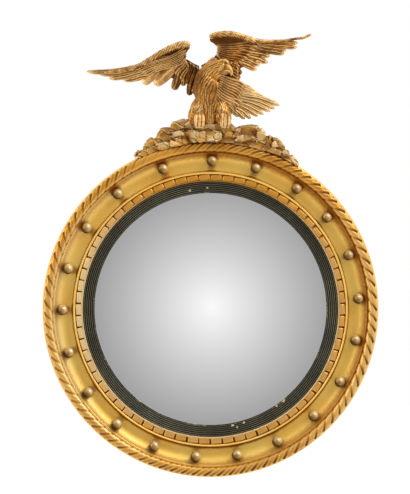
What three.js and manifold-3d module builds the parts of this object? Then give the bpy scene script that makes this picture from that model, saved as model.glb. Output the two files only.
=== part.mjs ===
// A round convex mirror in a gilded frame, with a carved eagle on rockwork as its crest.
// Millimetres, +Z up. The front faces -Y and the wall is the plane y = 0, so a depth is counted
// from the wall towards the viewer and a point at depth d has y = -d. X runs to the viewer's right.
import * as THREE from 'three';
import { ConvexGeometry } from 'three/addons/geometries/ConvexGeometry.js';
import { LoftGeometry } from 'three/addons/geometries/LoftGeometry.js';
import { mergeVertices } from 'three/addons/utils/BufferGeometryUtils.js';
import Module from 'manifold-3d';

const wasm = await Module();
wasm.setup();

// ---- Driving dimensions -------------------------------------------------------------------
const GAP = 0.3; // between pieces that touch
const sides = { ring: 72, slip: 48, glass: 40, board: 40, cutter: 120, screw: 8, eye: 12, dowel: 10 };

const boardThick = 8; // backboard, and every fitting on the back, fills this depth
const boardRadius = 274;
const backDepth = boardThick + GAP; // the ring's flat back

const ringRadius = 354.5; // outer side of the turned ring
const shoulderRadius = 348.7; // the plain edge outside the rope slopes from here ...
const shoulderDepth = 44.5; // ... down to this depth at the ring's side
const boreRadius = 257; // rebate for glass and slip
const ledgeDepth = 39.7; // ledge that slip and block moulding sit on
const channelRadius = 285; // outer wall of the block moulding's channel
const beadRadius = 290;
const beadDepth = 54;
const hollowInner = 292; // the cavetto is a quarter ellipse from here ...
const hollowOuter = 328; // ... to here
const hollowRim = 58; // depth of its outer edge
const hollowSink = 22; // how far it sinks
const ropeSeat = 51.2;

const ropeMiddle = 339.5;
const ropeHalfWidth = 8.5;
const ropeTwists = 90;
const ropeLean = 4.4; // degrees that a groove runs round on its way outward
const ropeCarving = 2.2; // depth of a groove

const blockCount = 70;
const blockInner = 269.8;
const blockRim = 272.4;
const blockOuter = 284.4;
const blockTop = 52;
const blockGroove = 47.5;
const blockRimTop = 50;

const slipInner = 247;
const slipOuter = 269.2;
const slipReeds = 5;
const reedHeight = 1.6;

const glassRadius = 250;
const glassThick = 3;
const glassApex = 72; // depth of the middle of the bulge
const glassBulge = 852; // radius of the sphere that the glass is part of

const ballRadius = 11;
const ballSeatRadius = 318; // where a ball touches the cavetto
// Clockwise from the top, in degrees: the balls were set out by eye.
const ballAngles = [
  0.5, 17.8, 35.5, 51.7, 68.6, 85.9, 102.1, 119.3, 136, 153.2, 169.7, 185.8, 202.4, 219.2, 235.8,
  253, 269.7, 285.8, 303.2, 321.1, 341.2,
];

const screwHead = 3.6;
const screwShank = 1.9;
const boardScrewCircle = 264;
const hangerX = 205;
const eyeHeight = 238;
const eyeDepth = 4.4;
const eyeRadius = 3.6;
const eyeBore = 2.3;
const eyeWide = 7;
const strapWide = 14;
const strapHigh = 30;
const strapThick = 1.6;
const hoopRadius = 15;
const hoopWire = 1.5;

const mirror = new THREE.Group();

// ---- Finishes -----------------------------------------------------------------------------
const finishes = {
  gilt: { color: 0xc9953f, roughness: 0.42, metalness: 0.75 },
  gildedEagle: { color: 0xb8803a, roughness: 0.48, metalness: 0.65 },
  dullGilt: { color: 0xb59a68, roughness: 0.6, metalness: 0.45 },
  redGilt: { color: 0xb07a2a, roughness: 0.5, metalness: 0.6 },
  ebonised: { color: 0x352f26, roughness: 0.45, metalness: 0 },
  silvered: { color: 0xe8e8e8, roughness: 0.03, metalness: 1 },
  pine: { color: 0xb48a58, roughness: 0.8, metalness: 0 },
  iron: { color: 0x4c4744, roughness: 0.6, metalness: 0.8 },
  brass: { color: 0xa98a4b, roughness: 0.4, metalness: 0.9 },
};

// ---- Solids: booleans and shapes ----------------------------------------------------------
const degrees = THREE.MathUtils.degToRad;
const point = ([x, z, depth]) => new THREE.Vector3(x, -depth, z);

// A three.js geometry as a manifold solid: shared corners are merged and needle triangles dropped.
function solid(geometry) {
  const plain = new THREE.BufferGeometry();
  plain.setAttribute('position', geometry.getAttribute('position'));
  plain.setIndex(geometry.getIndex());
  const merged = mergeVertices(plain, 1e-3);
  const corners = merged.getIndex().array;
  const kept = [];
  for (let i = 0; i < corners.length; i += 3) {
    const [a, b, c] = corners.slice(i, i + 3);
    if (a !== b && b !== c && c !== a) kept.push(a, b, c);
  }
  const vertProperties = Float32Array.from(merged.getAttribute('position').array);
  const triVerts = Uint32Array.from(kept);
  return new wasm.Manifold(new wasm.Mesh({ numProp: 3, vertProperties, triVerts }));
}

function geometryOf(shape) {
  const { vertProperties, triVerts } = shape.getMesh();
  const geometry = new THREE.BufferGeometry();
  geometry.setAttribute('position', new THREE.BufferAttribute(Float32Array.from(vertProperties), 3));
  geometry.setIndex(new THREE.BufferAttribute(Uint32Array.from(triVerts), 1));
  return geometry;
}

const joined = (shapes) => shapes.reduce((whole, shape) => whole.add(shape));
const without = (shape, cutters) => cutters.reduce((rest, cutter) => rest.subtract(cutter), shape);

function place(name, shape, finish) {
  const material = new THREE.MeshStandardMaterial(finishes[finish]);
  const geometry = geometryOf(shape);
  geometry.computeVertexNormals();
  const mesh = new THREE.Mesh(geometry, material);
  mesh.name = name;
  mirror.add(mesh);
  return mesh;
}

// A turned piece about the Y axis. The profile is [radius, depth] points in the order inner side
// from the back to the front, front from the inside out, outer side from the front to the back.
function turned(profile, sides) {
  const points = profile.map(([radius, depth]) => new THREE.Vector2(radius, -depth));
  if (profile[0][0] > 0) points.push(points[0].clone());
  return solid(new THREE.LatheGeometry(points, sides));
}

// A disc about the ring's axis, from the depth `from` to the depth `to`.
function discAlongDepth(radius, from, to) {
  const disc = new THREE.CylinderGeometry(radius, radius, to - from, sides.cutter);
  disc.translate(0, -(from + to) / 2, 0);
  return solid(disc);
}

function box(width, depthFrom, depthTo, height, x, z, turn = 0) {
  const block = new THREE.BoxGeometry(width, depthTo - depthFrom, height);
  block.translate(x, -(depthFrom + depthTo) / 2, z);
  block.rotateY(turn);
  return solid(block);
}

// A countersunk wood screw with its head at the back. `grow` makes the hole that it fits.
function screw(x, z, headDepth, length, grow = 0) {
  const head = screwHead + grow;
  const shank = screwShank + grow;
  const coneEnd = headDepth + screwHead - screwShank + grow;
  const profile = [
    [0, headDepth + length + grow],
    [shank, headDepth + length + grow],
    [shank, coneEnd],
    [head, headDepth - grow],
    [0, headDepth - grow],
  ];
  return turned(profile, sides.screw).translate([x, 0, z]);
}

// Sections set across a path. A section has its half width across the path, as seen from the
// front, and its half depth. `corners` lists the section's outline on the unit circle.
function lofted(stations, corners, grow = 0) {
  const middles = stations.map((station) => point(station.at));
  const front = new THREE.Vector3(0, -1, 0);
  const sections = stations.map((station, i) => {
    const ahead = middles[Math.min(i + 1, middles.length - 1)];
    const behind = middles[Math.max(i - 1, 0)];
    const along = ahead.clone().sub(behind).normalize();
    const side = along.clone().cross(front).normalize();
    const back = along.clone().cross(side);
    return corners.map(([across, deep]) =>
      middles[i].clone()
        .addScaledVector(side, across * (station.wide + grow))
        .addScaledVector(back, deep * (station.deep + grow)));
  });
  return solid(new LoftGeometry(sections, { capStart: true, capEnd: true }));
}

function roundSection(sides) {
  return Array.from({ length: sides }, (_, i) => {
    const angle = (i + 0.5) * 2 * Math.PI / sides;
    return [Math.cos(angle), Math.sin(angle)];
  });
}

// A limb's stations are [x, z, depth, half width, half depth].
function limb(stations, sides, grow = 0) {
  const named = stations.map(([x, z, depth, wide, deep]) => ({ at: [x, z, depth], wide, deep }));
  return lofted(named, roundSection(sides), grow);
}

// A feather is a blade with a raised quill. It runs from root to tip and bows sideways by `bow`.
const bladeSection = [[1, 0], [0, 1], [-1, 0], [0, -1]];
const bladeStations = [[0, 0.5], [0.3, 0.85], [0.65, 1], [0.9, 0.84], [1, 0.4]];
function feather({ root, tip, width, bow, thick = 6 }, grow = 0) {
  const stations = bladeStations.map(([t, share]) => {
    const at = root.map((start, axis) => start + (tip[axis] - start) * t);
    at[1] += 4 * bow * t * (1 - t);
    return { at, wide: width / 2 * share, deep: thick * (1 - t / 2) };
  });
  return lofted(stations, bladeSection, grow);
}

// A flat carved mass between two depths, from its outline in x and z.
function slab(outline, depthFrom, depthTo) {
  const shape = new THREE.Shape(outline.map(([x, z]) => new THREE.Vector2(x, z)));
  const geometry = new THREE.ExtrudeGeometry(shape, { depth: depthTo - depthFrom, bevelEnabled: false });
  geometry.rotateX(Math.PI / 2);
  geometry.translate(0, -depthFrom, 0);
  return solid(geometry);
}

// ---- The turned ring ----------------------------------------------------------------------
const hollowWidth = hollowOuter - hollowInner;
function hollowPoint(radius) {
  const across = (radius - hollowInner) / hollowWidth;
  return [radius, hollowRim - hollowSink * Math.sqrt(1 - across * across)];
}
const ringProfile = [
  [boreRadius, backDepth],
  [boreRadius, ledgeDepth],
  [channelRadius, ledgeDepth],
  [channelRadius, beadDepth - 1.5],
  [channelRadius + 2.5, beadDepth],
  [beadRadius, beadDepth - 1.5],
  [beadRadius, hollowRim - hollowSink],
  ...[303, ballSeatRadius, 325].map(hollowPoint),
  [hollowOuter, hollowRim],
  [hollowOuter + 2.5, hollowRim],
  [hollowOuter + 2.5, ropeSeat],
  [shoulderRadius, ropeSeat],
  [ringRadius, shoulderDepth],
  [ringRadius, backDepth],
];

// Screws are [x, z, depth of the head's face, length].
const flush = 0.2;
const boardScrews = [30, 90, 150, 210, 270, 330].map((angle) => {
  const turn = degrees(angle);
  return [boardScrewCircle * Math.sin(turn), boardScrewCircle * Math.cos(turn), flush, 22];
});
const hangerScrews = [-1, 1].flatMap((side) =>
  [12, 26].map((up) => [side * hangerX, eyeHeight + up, boardThick - strapThick - 0.1, 18]));
const battenScrews = [300, 371].flatMap((z) => [-18, 18].map((x) => [x, z, flush, 28]));
const holesFor = (screws) => screws.map((spec) => screw(...spec, GAP));

const ring = without(turned(ringProfile, sides.ring), [
  ...holesFor(boardScrews),
  ...holesFor(hangerScrews),
  ...holesFor(battenScrews.slice(0, 2)),
]);
place('frame_ring', ring, 'gilt');

// ---- Mouldings that run round the ring ----------------------------------------------------
// Sections at clockwise angles, each a list of [radius, depth, extra angle], closed into a ring.
function carvedRing(sections) {
  const rows = sections.map(({ angle, outline }) =>
    outline.map(([radius, depth, extra = 0]) => {
      const turn = degrees(angle + extra);
      return new THREE.Vector3(radius * Math.sin(turn), -depth, radius * Math.cos(turn));
    }));
  return solid(new LoftGeometry([...rows, rows[0]].reverse()));
}

const ropeShape = [[-1, -1], [-1, 0.1], [-0.5, 0.87], [0.5, 0.87], [1, 0.1], [1, -1]];
const ropeSections = Array.from({ length: 2 * ropeTwists }, (_, i) => {
  const inGroove = i % 2 ? ropeCarving : 0;
  const half = ropeHalfWidth - inGroove;
  const outline = ropeShape.map(([across, up]) => {
    const depth = ropeSeat + GAP + ropeHalfWidth + up * (up < 0 ? ropeHalfWidth : half);
    const reach = up < 0 ? ropeHalfWidth - ropeCarving : half;
    return [ropeMiddle + across * reach, depth, across * ropeLean / 2];
  });
  return { angle: i * 180 / ropeTwists, outline };
});
place('rope_moulding', carvedRing(ropeSections), 'gilt');

const blockPitch = 360 / blockCount;
const blockSections = Array.from({ length: blockCount }, (_, i) => [
  [0, blockGroove],
  [0.11 * blockPitch, blockTop],
  [0.89 * blockPitch, blockTop],
].map(([offset, top]) => ({
  angle: i * blockPitch + offset,
  outline: [
    [blockInner, ledgeDepth + GAP],
    [blockInner, blockRimTop],
    [blockRim, blockRimTop],
    [blockRim + 0.4, top],
    [blockOuter, top],
    [blockOuter, ledgeDepth + GAP],
  ],
}))).flat();
place('block_moulding', carvedRing(blockSections), 'redGilt');

const reedPitch = (slipOuter - slipInner) / slipReeds;
const slipFront = Array.from({ length: slipReeds }, (_, i) => {
  const start = slipInner + i * reedPitch;
  const base = 39 + 1.35 * i;
  return [
    [start + 0.5 * reedPitch, base + reedHeight + 0.7],
    [start + reedPitch, base + 1.35],
  ];
}).flat();
const slipProfile = [
  [glassRadius + 1, 35],
  [slipInner, 37],
  [slipInner, 39],
  ...slipFront,
  [slipOuter, ledgeDepth + GAP],
  [boreRadius - 0.6, ledgeDepth + GAP],
  [boreRadius - 0.6, 31.5],
  [glassRadius + 1, 31.5],
];
place('slip', turned(slipProfile, sides.slip), 'ebonised');

// ---- Glass --------------------------------------------------------------------------------
const sagAt = (radius) => glassBulge - Math.sqrt(glassBulge ** 2 - radius ** 2);
const glassRings = [0, 90, 175, glassRadius];
const glassFront = glassRings.map((radius) => [radius, glassApex - sagAt(radius)]);
const glassBack = [...glassRings].reverse().map((radius) => [radius, glassApex - glassThick - sagAt(radius)]);
place('mirror_plate', turned([...glassFront, ...glassBack], sides.glass), 'silvered');

// ---- Balls --------------------------------------------------------------------------------
const [, ballSeatDepth] = hollowPoint(ballSeatRadius);
const seatNormal = new THREE.Vector2(
  -(ballSeatRadius - hollowInner) / hollowWidth ** 2,
  (hollowRim - ballSeatDepth) / hollowSink ** 2,
).normalize();
const ballCircle = ballSeatRadius + seatNormal.x * (ballRadius + 2 * GAP);
const ballDepth = ballSeatDepth + seatNormal.y * (ballRadius + 2 * GAP);
const ballShape = solid(new THREE.SphereGeometry(ballRadius, 8, 5));
ballAngles.forEach((angle, i) => {
  const ball = place(`ball_${String(i + 1).padStart(2, '0')}`, ballShape, 'dullGilt');
  const turn = degrees(angle);
  ball.position.set(ballCircle * Math.sin(turn), -ballDepth, ballCircle * Math.cos(turn));
});

// ---- Back: board, glass blocks and hanging fittings ---------------------------------------
const boardProfile = [[0, boardThick], [boardRadius, boardThick], [boardRadius, 0], [0, 0]];
const board = turned(boardProfile, sides.board);
place('backboard', without(board, holesFor(boardScrews)), 'pine');
boardScrews.forEach((spec, i) => place(`backboard_screw_${i + 1}`, screw(...spec), 'iron'));

const glassBlock = { wide: 40, high: 18, outerFace: 255.2, front: 30.8 };
[45, 135, 225, 315].forEach((angle, i) => {
  const middle = glassBlock.outerFace - glassBlock.high / 2;
  const { wide, high, front } = glassBlock;
  const shape = box(wide, backDepth, front, high, 0, middle, degrees(angle));
  place(`glass_block_${i + 1}`, shape, 'pine');
});

// The plate is a strap folded round an eye, which holds the loose hoop.
function hangerPlate(x) {
  const eye = new THREE.CylinderGeometry(eyeRadius, eyeRadius, eyeWide, sides.eye);
  const eyeHole = new THREE.CylinderGeometry(eyeBore, eyeBore, 2 * eyeWide, sides.eye);
  [eye, eyeHole].forEach((geometry) => {
    geometry.rotateZ(Math.PI / 2);
    geometry.translate(x, -eyeDepth, eyeHeight);
  });
  const strapFace = boardThick - strapThick;
  const strapFoot = eyeHeight + eyeRadius;
  const strap = box(strapWide, strapFace, boardThick, strapHigh, x, strapFoot + strapHigh / 2);
  const neck = box(eyeWide, strapFace, boardThick, 2 * eyeRadius, x, strapFoot - eyeRadius / 2);
  const folded = joined([solid(eye), neck]).subtract(solid(eyeHole)).add(strap);
  return without(folded, holesFor(hangerScrews));
}
['left', 'right'].forEach((side, i) => {
  const x = i ? hangerX : -hangerX;
  place(`hanger_plate_${side}`, hangerPlate(x), 'iron');
  const hoop = new THREE.TorusGeometry(hoopRadius, hoopWire, 6, 18);
  hoop.rotateX(Math.PI / 2);
  hoop.translate(x, -eyeDepth, eyeHeight - hoopRadius);
  place(`hanger_ring_${side}`, solid(hoop), 'brass');
});
hangerScrews.forEach((spec, i) => place(`hanger_screw_${i + 1}`, screw(...spec), 'iron'));

// ---- Eagle: body, neck and head -----------------------------------------------------------
const dowel = { x: -2, depth: 46, radius: 6, bottom: 362, top: 425 };
function uprightRod(grow = 0) {
  const length = dowel.top - dowel.bottom + 2 * grow;
  const radius = dowel.radius + grow;
  const rod = new THREE.CylinderGeometry(radius, radius, length, sides.dowel);
  rod.rotateX(Math.PI / 2);
  rod.translate(dowel.x, -dowel.depth, (dowel.top + dowel.bottom) / 2);
  return solid(rod);
}

const trunk = [
  [0, 383, 50, 9, 11],
  [-1, 396, 49, 15, 18],
  [-3, 416, 49, 20, 24],
  [-4, 438, 51, 26, 29],
  [-4, 458, 54, 31, 33],
  [-2, 478, 58, 32, 32],
  [4, 493, 63, 27, 27],
  [13, 501, 70, 22, 21],
  [23, 505, 76, 18, 16],
  [32, 505, 81, 15, 13],
  [39, 504, 84, 10, 9],
];
const beak = [
  [34, 506, 84, 9, 8],
  [41, 503, 87, 7, 6],
  [45, 497, 89, 5, 5],
  [46, 490, 89, 3, 3],
  [44, 484, 88, 1, 1],
];
const bodyShape = (grow) => joined([limb(trunk, 12, grow), limb(beak, 6, grow)]);
const grownBody = bodyShape(GAP);
place('eagle_body', bodyShape(0).subtract(uprightRod(GAP)), 'gildedEagle');
place('eagle_dowel', uprightRod(), 'pine');

// ---- Eagle: legs --------------------------------------------------------------------------
// Feathered thigh, then a foot of three toes side by side. `side` is -1 on the viewer's left. The
// bird leans, so its feet stand a little to the right of its thighs.
function leg(side, grow = 0) {
  const thigh = [
    [side * 13, 450, 52, 12, 13],
    [side * 21 - 1, 430, 55, 17, 18],
    [side * 27 - 2, 411, 57, 18, 18],
    [side * 28 - 1, 397, 58, 17, 15],
    [side * 27, 384, 58, 11, 11],
  ];
  const heel = side * 27 + 4;
  const toes = [-7.5, 0, 7.5].map((spread) => [
    [heel + spread * 0.5, 413, 68, 5, 5],
    [heel + spread, 402, 76, 5, 5],
    [heel + spread, 389, 79, 4.5, 4.5],
    [heel + spread * 0.7, 379, 80, 2, 2],
  ]);
  return joined([limb(thigh, 10, grow), ...toes.map((toe) => limb(toe, 6, grow))]);
}
const grownLegs = [leg(-1, GAP), leg(1, GAP)];
place('left_leg', leg(-1).subtract(grownBody), 'gildedEagle');
place('right_leg', leg(1).subtract(grownBody), 'gildedEagle');

// ---- Eagle: wings -------------------------------------------------------------------------
// Feathers are listed from the leading edge inwards, and each lies a little behind the last.
const leftFeathers = [
  { root: [-128, 523, 44], tip: [-264, 504, 26], width: 12, bow: -11 },
  { root: [-132, 514, 42], tip: [-237, 498, 27], width: 13, bow: -6 },
  { root: [-136, 507, 41], tip: [-216, 489, 28], width: 13, bow: -4 },
  { root: [-134, 502, 40], tip: [-185, 485, 30], width: 14, bow: -3 },
  { root: [-100, 520, 42], tip: [-143, 476, 35], width: 23, bow: 0 },
  { root: [-67, 520, 43], tip: [-119, 474, 37], width: 24, bow: -1 },
  { root: [-60, 511, 44], tip: [-78, 463, 39], width: 19, bow: 0 },
  { root: [-50, 505, 45], tip: [-59, 471, 41], width: 14, bow: 0 },
  { root: [-38, 501, 45], tip: [-45, 451, 42], width: 16, bow: 0 },
];
const leftEdge = [
  [-42, 557, 54, 5, 7],
  [-54, 558, 55, 7.5, 9],
  [-68, 555, 55, 8, 9],
  [-85, 549, 54, 7.5, 9],
  [-106, 539, 52, 6.5, 8],
  [-128, 526, 49, 6, 7],
  [-149, 515, 46, 5, 6],
  [-170, 508, 43, 4.5, 5],
  [-196, 503, 39, 3.5, 4],
  [-225, 501, 35, 3, 3],
];
const leftCoverts = [
  [-24, 514], [-35, 519], [-43, 524], [-52, 529], [-54, 536], [-48, 547], [-43, 553], [-58, 559],
  [-81, 554], [-111, 539], [-138, 523], [-166, 512], [-166, 501], [-149, 496], [-132, 493],
  [-111, 491], [-90, 491], [-69, 482], [-52, 476], [-33, 472], [-20, 489],
];
const rightFeathers = [
  { root: [109, 563, 46], tip: [186, 563, 28], width: 9, bow: 0 },
  { root: [100, 559, 45], tip: [184, 555, 28], width: 10, bow: 0 },
  { root: [88, 556, 44], tip: [159, 548, 30], width: 9, bow: 0 },
  { root: [83, 552, 43], tip: [157, 541, 30], width: 10, bow: 0 },
  { root: [58, 549, 45], tip: [122, 535, 34], width: 11, bow: 0 },
  { root: [54, 545, 44], tip: [121, 521, 34], width: 13, bow: 0 },
  { root: [45, 540, 45], tip: [98, 519, 36], width: 11, bow: 0 },
  { root: [43, 535, 44], tip: [98, 507, 36], width: 14, bow: 0 },
  { root: [43, 515, 46], tip: [66, 497, 40], width: 13, bow: 0 },
  { root: [39, 507, 46], tip: [62, 485, 47], width: 14, bow: 0 },
  { root: [35, 497, 47], tip: [57, 480, 49], width: 13, bow: 0 },
];
const rightEdge = [
  [-1, 571, 54, 4.5, 6],
  [7, 576, 56, 6.5, 8],
  [30, 579, 57, 7, 9],
  [51, 578, 56, 6.5, 8],
  [73, 572, 54, 6, 7],
  [96, 566, 51, 5.5, 6],
  [121, 565, 47, 4, 5],
  [151, 567, 42, 3, 4],
  [181, 572, 36, 3, 3],
  [198, 575, 31, 3.2, 3],
  [214, 583, 27, 2.4, 2],
];
const rightCoverts = [
  [-2, 571], [0, 565], [7, 561], [14, 554], [15, 548], [13, 539], [7, 532], [1, 526], [-12, 520],
  [-21, 515], [-12, 489], [24, 483], [57, 484], [62, 493], [65, 510], [77, 514], [94, 523],
  [109, 531], [130, 542], [151, 548], [170, 555], [168, 565], [126, 565], [88, 567], [58, 575],
  [31, 582],
];
const webBack = 35;
const webFront = 46;
function wing(feathers, edge, coverts) {
  const blades = feathers.map((blade) => feather(blade));
  return joined([slab(coverts, webBack, webFront), limb(edge, 8), ...blades]).subtract(grownBody);
}
place('left_wing', wing(leftFeathers, leftEdge, leftCoverts), 'gildedEagle');
place('right_wing', wing(rightFeathers, rightEdge, rightCoverts), 'gildedEagle');

// ---- Eagle: tail --------------------------------------------------------------------------
const tailFeathers = [
  { root: [24, 475, 38], tip: [94, 461, 30], width: 16, bow: 3 },
  { root: [22, 472, 40], tip: [109, 448, 31], width: 18, bow: 3 },
  { root: [18, 469, 42], tip: [127, 439, 31], width: 19, bow: 3 },
  { root: [16, 466, 43], tip: [147, 431, 31], width: 17, bow: 1 },
  { root: [14, 461, 43], tip: [126, 417, 32], width: 20, bow: 0 },
  { root: [14, 456, 43], tip: [99, 407, 33], width: 20, bow: -1 },
  { root: [12, 452, 43], tip: [72, 402, 34], width: 19, bow: -2 },
  { root: [12, 448, 43], tip: [50, 413, 35], width: 16, bow: -2 },
];
const tailFan = joined(tailFeathers.map((blade) => feather({ ...blade, thick: 7 })));
place('tail', without(tailFan, [grownBody, ...grownLegs]), 'gildedEagle');

// ---- Rockwork -----------------------------------------------------------------------------
// A rock is the hull of its outline, set at two depths, and of a smaller copy of it in front. The
// front flat takes a share of the outline and is pushed sideways by `peak`.
const rockBack = 12;
const rockChamfer = 9;
function rock({ front, peak, share, outline }) {
  const middle = [0, 1].map((axis) => outline.reduce((sum, at) => sum + at[axis], 0) / outline.length);
  const flat = outline.map((at) => at.map((value, axis) =>
    middle[axis] + peak[axis] + share * (value - middle[axis])));
  const corners = [[outline, rockBack], [outline, front - rockChamfer], [flat, front]];
  const hull = corners.flatMap(([loop, depth]) => loop.map(([x, z]) => new THREE.Vector3(x, -depth, z)));
  return solid(new ConvexGeometry(hull));
}

const rocks = [
  { front: 56, peak: [-1, 2], share: 0.55, outline:
    [[-165, 313], [-163, 325], [-155, 334], [-141, 337], [-130, 331], [-132, 319], [-149, 308]] },
  { front: 58, peak: [2, -2], share: 0.5, outline:
    [[-143, 335], [-142, 344], [-136, 356], [-128, 360], [-115, 361], [-108, 352], [-113, 337],
      [-127, 331]] },
  { front: 58, peak: [3, -3], share: 0.5, outline:
    [[-116, 357], [-114, 368], [-108, 379], [-100, 384], [-86, 383], [-81, 369], [-88, 355], [-111, 350]] },
  { front: 70, peak: [2, -3], share: 0.6, outline:
    [[-113, 348], [-100, 356], [-85, 352], [-82, 341], [-98, 336], [-112, 336]] },
  { front: 60, peak: [-2, -2], share: 0.6, outline:
    [[-87, 376], [-84, 391], [-79, 396], [-64, 399], [-47, 403], [-45, 386], [-54, 373], [-79, 372]] },
  { front: 71, peak: [-3, 2], share: 0.5, outline:
    [[-87, 362], [-81, 372], [-64, 372], [-56, 367], [-46, 352], [-49, 344], [-64, 346]] },
  { front: 73, peak: [-3, 0], share: 0.45, outline:
    [[-86, 359], [-74, 356], [-58, 346], [-60, 340], [-81, 342]] },
  { front: 62, peak: [0, 0], share: 0.5, outline:
    [[-56, 390], [-43, 400], [-31, 394], [-28, 375], [-41, 370], [-54, 373]] },
  { front: 72, peak: [1, 2], share: 0.6, outline:
    [[-52, 374], [-39, 378], [-26, 376], [-25, 350], [-36, 348], [-47, 362]] },
  { front: 70, peak: [0, 1], share: 0.6, outline: [[-26, 373], [-12, 376], [-10, 351], [-24, 349]] },
  { front: 74, peak: [1, 2], share: 0.6, outline:
    [[-11, 374], [5, 377], [22, 373], [25, 354], [7, 349], [-10, 350]] },
  { front: 66, peak: [0, 0], share: 0.7, outline:
    [[-47, 379], [-37, 390], [-9, 385], [24, 385], [45, 390], [49, 377], [24, 369], [-31, 369]] },
  { front: 70, peak: [-1, 2], share: 0.5, outline:
    [[21, 375], [32, 384], [47, 387], [56, 377], [49, 362], [30, 361]] },
  { front: 75, peak: [2, 2], share: 0.4, outline: [[47, 361], [53, 382], [63, 384], [64, 368], [55, 358]] },
  { front: 60, peak: [-1, -2], share: 0.6, outline:
    [[58, 384], [70, 389], [87, 390], [102, 386], [100, 369], [83, 363], [60, 365]] },
  { front: 68, peak: [1, -3], share: 0.5, outline:
    [[95, 381], [108, 381], [116, 374], [117, 354], [110, 341], [95, 343], [97, 366]] },
  { front: 70, peak: [-2, 1], share: 0.5, outline:
    [[49, 354], [68, 367], [91, 366], [103, 357], [83, 354], [62, 349]] },
  { front: 58, peak: [0, -2], share: 0.6, outline:
    [[112, 365], [125, 368], [134, 361], [132, 342], [115, 340]] },
  { front: 72, peak: [0, 1], share: 0.45, outline: [[127, 349], [136, 356], [144, 341], [129, 338]] },
  { front: 62, peak: [-1, -1], share: 0.55, outline:
    [[129, 363], [140, 362], [150, 354], [157, 342], [152, 335], [136, 336]] },
  { front: 66, peak: [0, 0], share: 0.6, outline:
    [[108, 341], [129, 340], [152, 333], [148, 322], [129, 330], [108, 335]] },
  { front: 66, peak: [0, 0], share: 0.6, outline:
    [[149, 329], [152, 336], [158, 338], [165, 335], [167, 328], [163, 321], [154, 321]] },
  { front: 56, peak: [0, 0], share: 0.55, outline:
    [[161, 321], [172, 327], [181, 318], [186, 308], [189, 297], [178, 298], [165, 310]] },
];

// The bed follows the ring, over the angles that the rocks cover.
const bed = { inner: 346, outer: 365, front: 64, steps: 8 };
function rockBed(fromAngle, toAngle) {
  const turns = Array.from({ length: bed.steps + 1 }, (_, i) =>
    degrees(fromAngle + (toAngle - fromAngle) * i / bed.steps));
  const arc = (radius) => turns.map((turn) => [radius * Math.sin(turn), radius * Math.cos(turn)]);
  return slab([...arc(bed.inner), ...arc(bed.outer).reverse()], backDepth, bed.front);
}

// The angles that each of the three carved pieces covers.
const rockPiles = { rock_left: [-26.5, -9.3], rock_centre: [-9.3, 9.3], rock_right: [9.3, 31.5] };
// The rocks are cut to sit on the ring's side and on the rope, with room for their flat facets.
const cutRoom = 0.7;
const ringCutters = [
  discAlongDepth(ringRadius + cutRoom, 0, ropeSeat),
  discAlongDepth(ropeMiddle + ropeHalfWidth + cutRoom, ropeSeat - 1, 100),
];
const towardsFront = [0, -1, 0];
const towards = (angle, sign) => [sign * Math.cos(degrees(angle)), 0, -sign * Math.sin(degrees(angle))];
const allRocks = joined(rocks.map(rock));
Object.entries(rockPiles).forEach(([name, angles]) => {
  const pile = allRocks
    .add(rockBed(...angles))
    .trimByPlane(towardsFront, backDepth)
    .trimByPlane(towards(angles[0], 1), GAP / 2)
    .trimByPlane(towards(angles[1], -1), GAP / 2);
  const seats = [...ringCutters, ...grownLegs, grownBody, uprightRod(GAP), ...holesFor(battenScrews)];
  place(name, without(pile, seats), 'gildedEagle');
});

// ---- Batten that ties the crest to the ring -----------------------------------------------
const batten = { wide: 64, high: 104, middle: 334 };
const battenBlock = box(batten.wide, GAP / 2, boardThick, batten.high, 0, batten.middle);
place('crest_batten', without(battenBlock, holesFor(battenScrews)), 'pine');
battenScrews.forEach((spec, i) => place(`batten_screw_${i + 1}`, screw(...spec), 'iron'));

export default mirror;
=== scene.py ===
import math
import random

import bpy
import numpy as np
from mathutils import Matrix, Vector, noise


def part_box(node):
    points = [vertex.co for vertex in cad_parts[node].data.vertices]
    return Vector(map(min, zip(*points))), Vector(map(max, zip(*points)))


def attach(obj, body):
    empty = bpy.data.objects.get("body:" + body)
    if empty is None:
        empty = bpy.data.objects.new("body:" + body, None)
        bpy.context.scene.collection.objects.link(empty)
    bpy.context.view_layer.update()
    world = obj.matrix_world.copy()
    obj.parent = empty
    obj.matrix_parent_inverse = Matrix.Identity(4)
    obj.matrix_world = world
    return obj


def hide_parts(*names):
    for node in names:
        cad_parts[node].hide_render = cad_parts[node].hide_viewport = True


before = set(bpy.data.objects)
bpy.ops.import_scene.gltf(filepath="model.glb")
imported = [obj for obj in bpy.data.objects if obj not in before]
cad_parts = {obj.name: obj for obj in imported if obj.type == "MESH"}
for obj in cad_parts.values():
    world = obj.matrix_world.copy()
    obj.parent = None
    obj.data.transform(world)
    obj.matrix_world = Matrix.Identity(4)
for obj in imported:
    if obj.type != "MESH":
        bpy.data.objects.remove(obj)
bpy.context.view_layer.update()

chance = random.Random(7)

# Lengths below are in millimetres. A depth is counted from the wall, so it is -Y in the scene.
# "Left" and "right" are the viewer's.


# ---- Studio: camera, light and floor -------------------------------------------------------
# A plain white studio. The camera stands 3.2 m in front of the ring, level with the middle of
# the whole mirror. Up to 38 degrees from the camera the room darkens evenly, and that is what the
# bulging glass shows. Beyond 50 degrees it is bright, for the gilding.
def linear(code):
    """An sRGB colour such as "#c08040" as the linear colour that Blender works in."""
    parts = [int(code[i:i + 2], 16) / 255 for i in (1, 3, 5)]
    return [p / 12.92 if p <= 0.04045 else ((p + 0.055) / 1.055) ** 2.4 for p in parts] + [1.0]


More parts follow.
